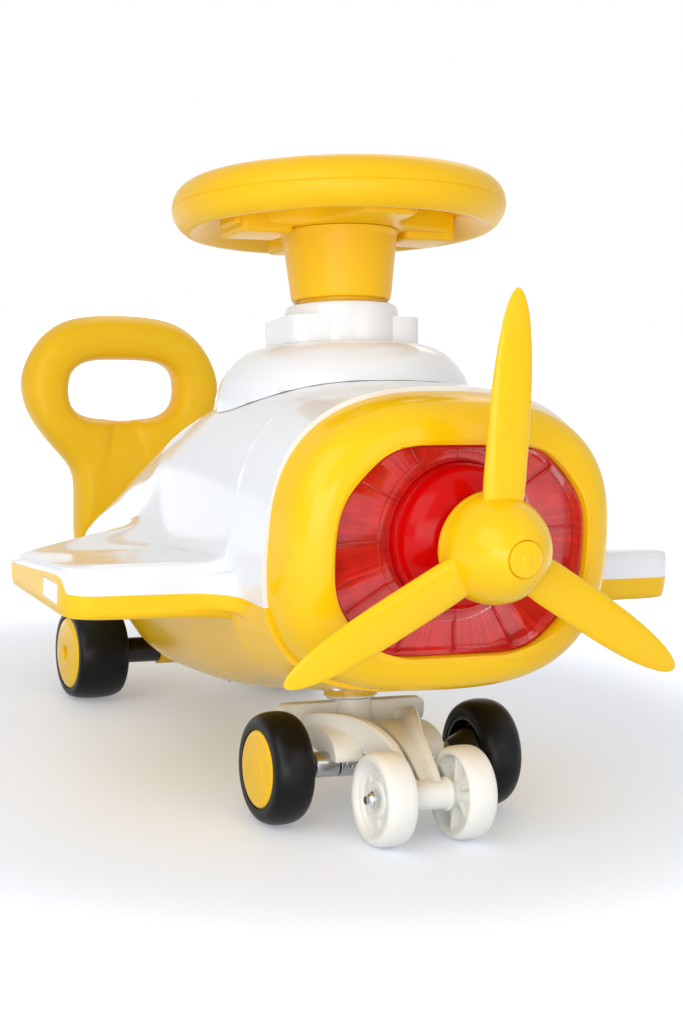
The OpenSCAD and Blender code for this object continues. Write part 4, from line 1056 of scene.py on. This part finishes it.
def floor_material():
    """Pale floor that turns plain white away from the car, so that no horizon shows."""
    material = bpy.data.materials.new("Pale floor")
    material.use_nodes = True
    nodes, links = material.node_tree.nodes, material.node_tree.links
    shader = nodes["Principled BSDF"]
    shader.inputs["Base Color"].default_value = (0.75, 0.80, 0.90, 1)
    shader.inputs["Roughness"].default_value = 0.6
    shader.inputs["Specular IOR Level"].default_value = 0.15
    shader.inputs["Emission Color"].default_value = (1, 1, 1, 1)
    place = nodes.new("ShaderNodeTexCoord")
    away = add_node(nodes, "ShaderNodeVectorMath", operation="LENGTH")
    rise = add_node(
        nodes, "ShaderNodeMapRange", {"From Min": 0.36, "From Max": 0.74, "To Min": 0.24, "To Max": 1.0}
    )
    rise.interpolation_type = "SMOOTHSTEP"
    seen = add_node(nodes, "ShaderNodeMath", operation="MULTIPLY")
    connect(
        links,
        (place.outputs["Object"], away.inputs[0]),
        (away.outputs["Value"], rise.inputs["Value"]),
        (rise.outputs["Result"], seen.inputs[0]),
        (seen_rays(nodes, links), seen.inputs[1]),
        (seen.outputs[0], shader.inputs["Emission Strength"]),
    )
    return material


class SWINGCAR_OT_stage(PieceOperator):
    """Floor, soft boxes, plain world and the camera"""

    bl_idname = "swing_car.stage"
    bl_label = "Stage"

    def execute(self, context):
        s = stage_settings()
        scene = context.scene
        scene.view_settings.view_transform = "Standard"
        world = bpy.data.worlds.new("Plain studio")
        scene.world = world
        world.use_nodes = True
        nodes, links = world.node_tree.nodes, world.node_tree.links
        strength = add_node(nodes, "ShaderNodeMix", {"A": s.world_level, "B": 1.0})
        links.new(seen_rays(nodes, links), strength.inputs["Factor"])
        links.new(strength.outputs["Result"], nodes["Background"].inputs["Strength"])
        nodes["Background"].inputs["Color"].default_value = (1, 1, 1, 1)

        bm = bmesh.new()
        bmesh.ops.create_grid(bm, x_segments=2, y_segments=2, size=6.0)
        floor = bpy.data.objects.new("pale_floor", mesh_from(bm, "pale_floor"))
        scene.collection.objects.link(floor)
        floor.data.materials.append(floor_material())

        soft_box("Key box", (1.25, -1.65, 1.45), (0.1, 0, 0.2), 1.7, 1.7, s.key_power)
        soft_box("Front box", (2.2, 0.7, 1.1), (0.2, 0, 0.2), 1.2, 1.2, s.fill_power)
        soft_box("Back box", (-1.4, 0.9, 1.6), (-0.1, 0, 0.25), 1.4, 1.0, s.fill_power)
        soft_box("Low box", (1.6, -0.75, 0.32), (0.2, 0, 0.08), 1.4, 0.5, s.low_power)

        look, right, up = camera_axes()
        data = bpy.data.cameras.new("Photo camera")
        data.sensor_width = 36.0
        data.lens = s.camera_lens
        data.clip_start, data.clip_end = 0.05, 30.0
        camera = bpy.data.objects.new("Photo camera", data)
        scene.collection.objects.link(camera)
        turn = Matrix((right, up, -look)).transposed().to_4x4()
        camera.matrix_world = Matrix.Translation(s.camera_place) @ turn
        scene.camera = camera
        return {"FINISHED"}


class SWINGCAR_PT_panel(bpy.types.Panel):
    """Steps that finish the swing car"""

    bl_idname = "SWINGCAR_PT_panel"
    bl_label = "Swing car"
    bl_space_type = "VIEW_3D"
    bl_region_type = "UI"
    bl_category = "Swing Car"

    def draw(self, context):
        for step in STEPS:
            self.layout.operator(step.bl_idname)


STEPS = (
    SWINGCAR_OT_shells,
    SWINGCAR_OT_handle,
    SWINGCAR_OT_steering_wheel,
    SWINGCAR_OT_nose,
    SWINGCAR_OT_carrier,
    SWINGCAR_OT_wheels,
    SWINGCAR_OT_hardware,
    SWINGCAR_OT_stage,
)
CLASSES = (SwingCarColours, SwingCarSizes, SwingCarStage, *STEPS, SWINGCAR_PT_panel)


def register():
    for cls in CLASSES:
        bpy.utils.register_class(cls)
    bpy.types.Scene.swing_car_colours = PointerProperty(type=SwingCarColours)
    bpy.types.Scene.swing_car_sizes = PointerProperty(type=SwingCarSizes)
    bpy.types.Scene.swing_car_stage = PointerProperty(type=SwingCarStage)


def unregister():
    del bpy.types.Scene.swing_car_stage
    del bpy.types.Scene.swing_car_sizes
    del bpy.types.Scene.swing_car_colours
    for cls in reversed(CLASSES):
        bpy.utils.unregister_class(cls)


def main():
    register()
    for step in STEPS:
        group, name = step.bl_idname.split(".")
        getattr(getattr(bpy.ops, group), name)()


if __name__ == "__main__":
    main()
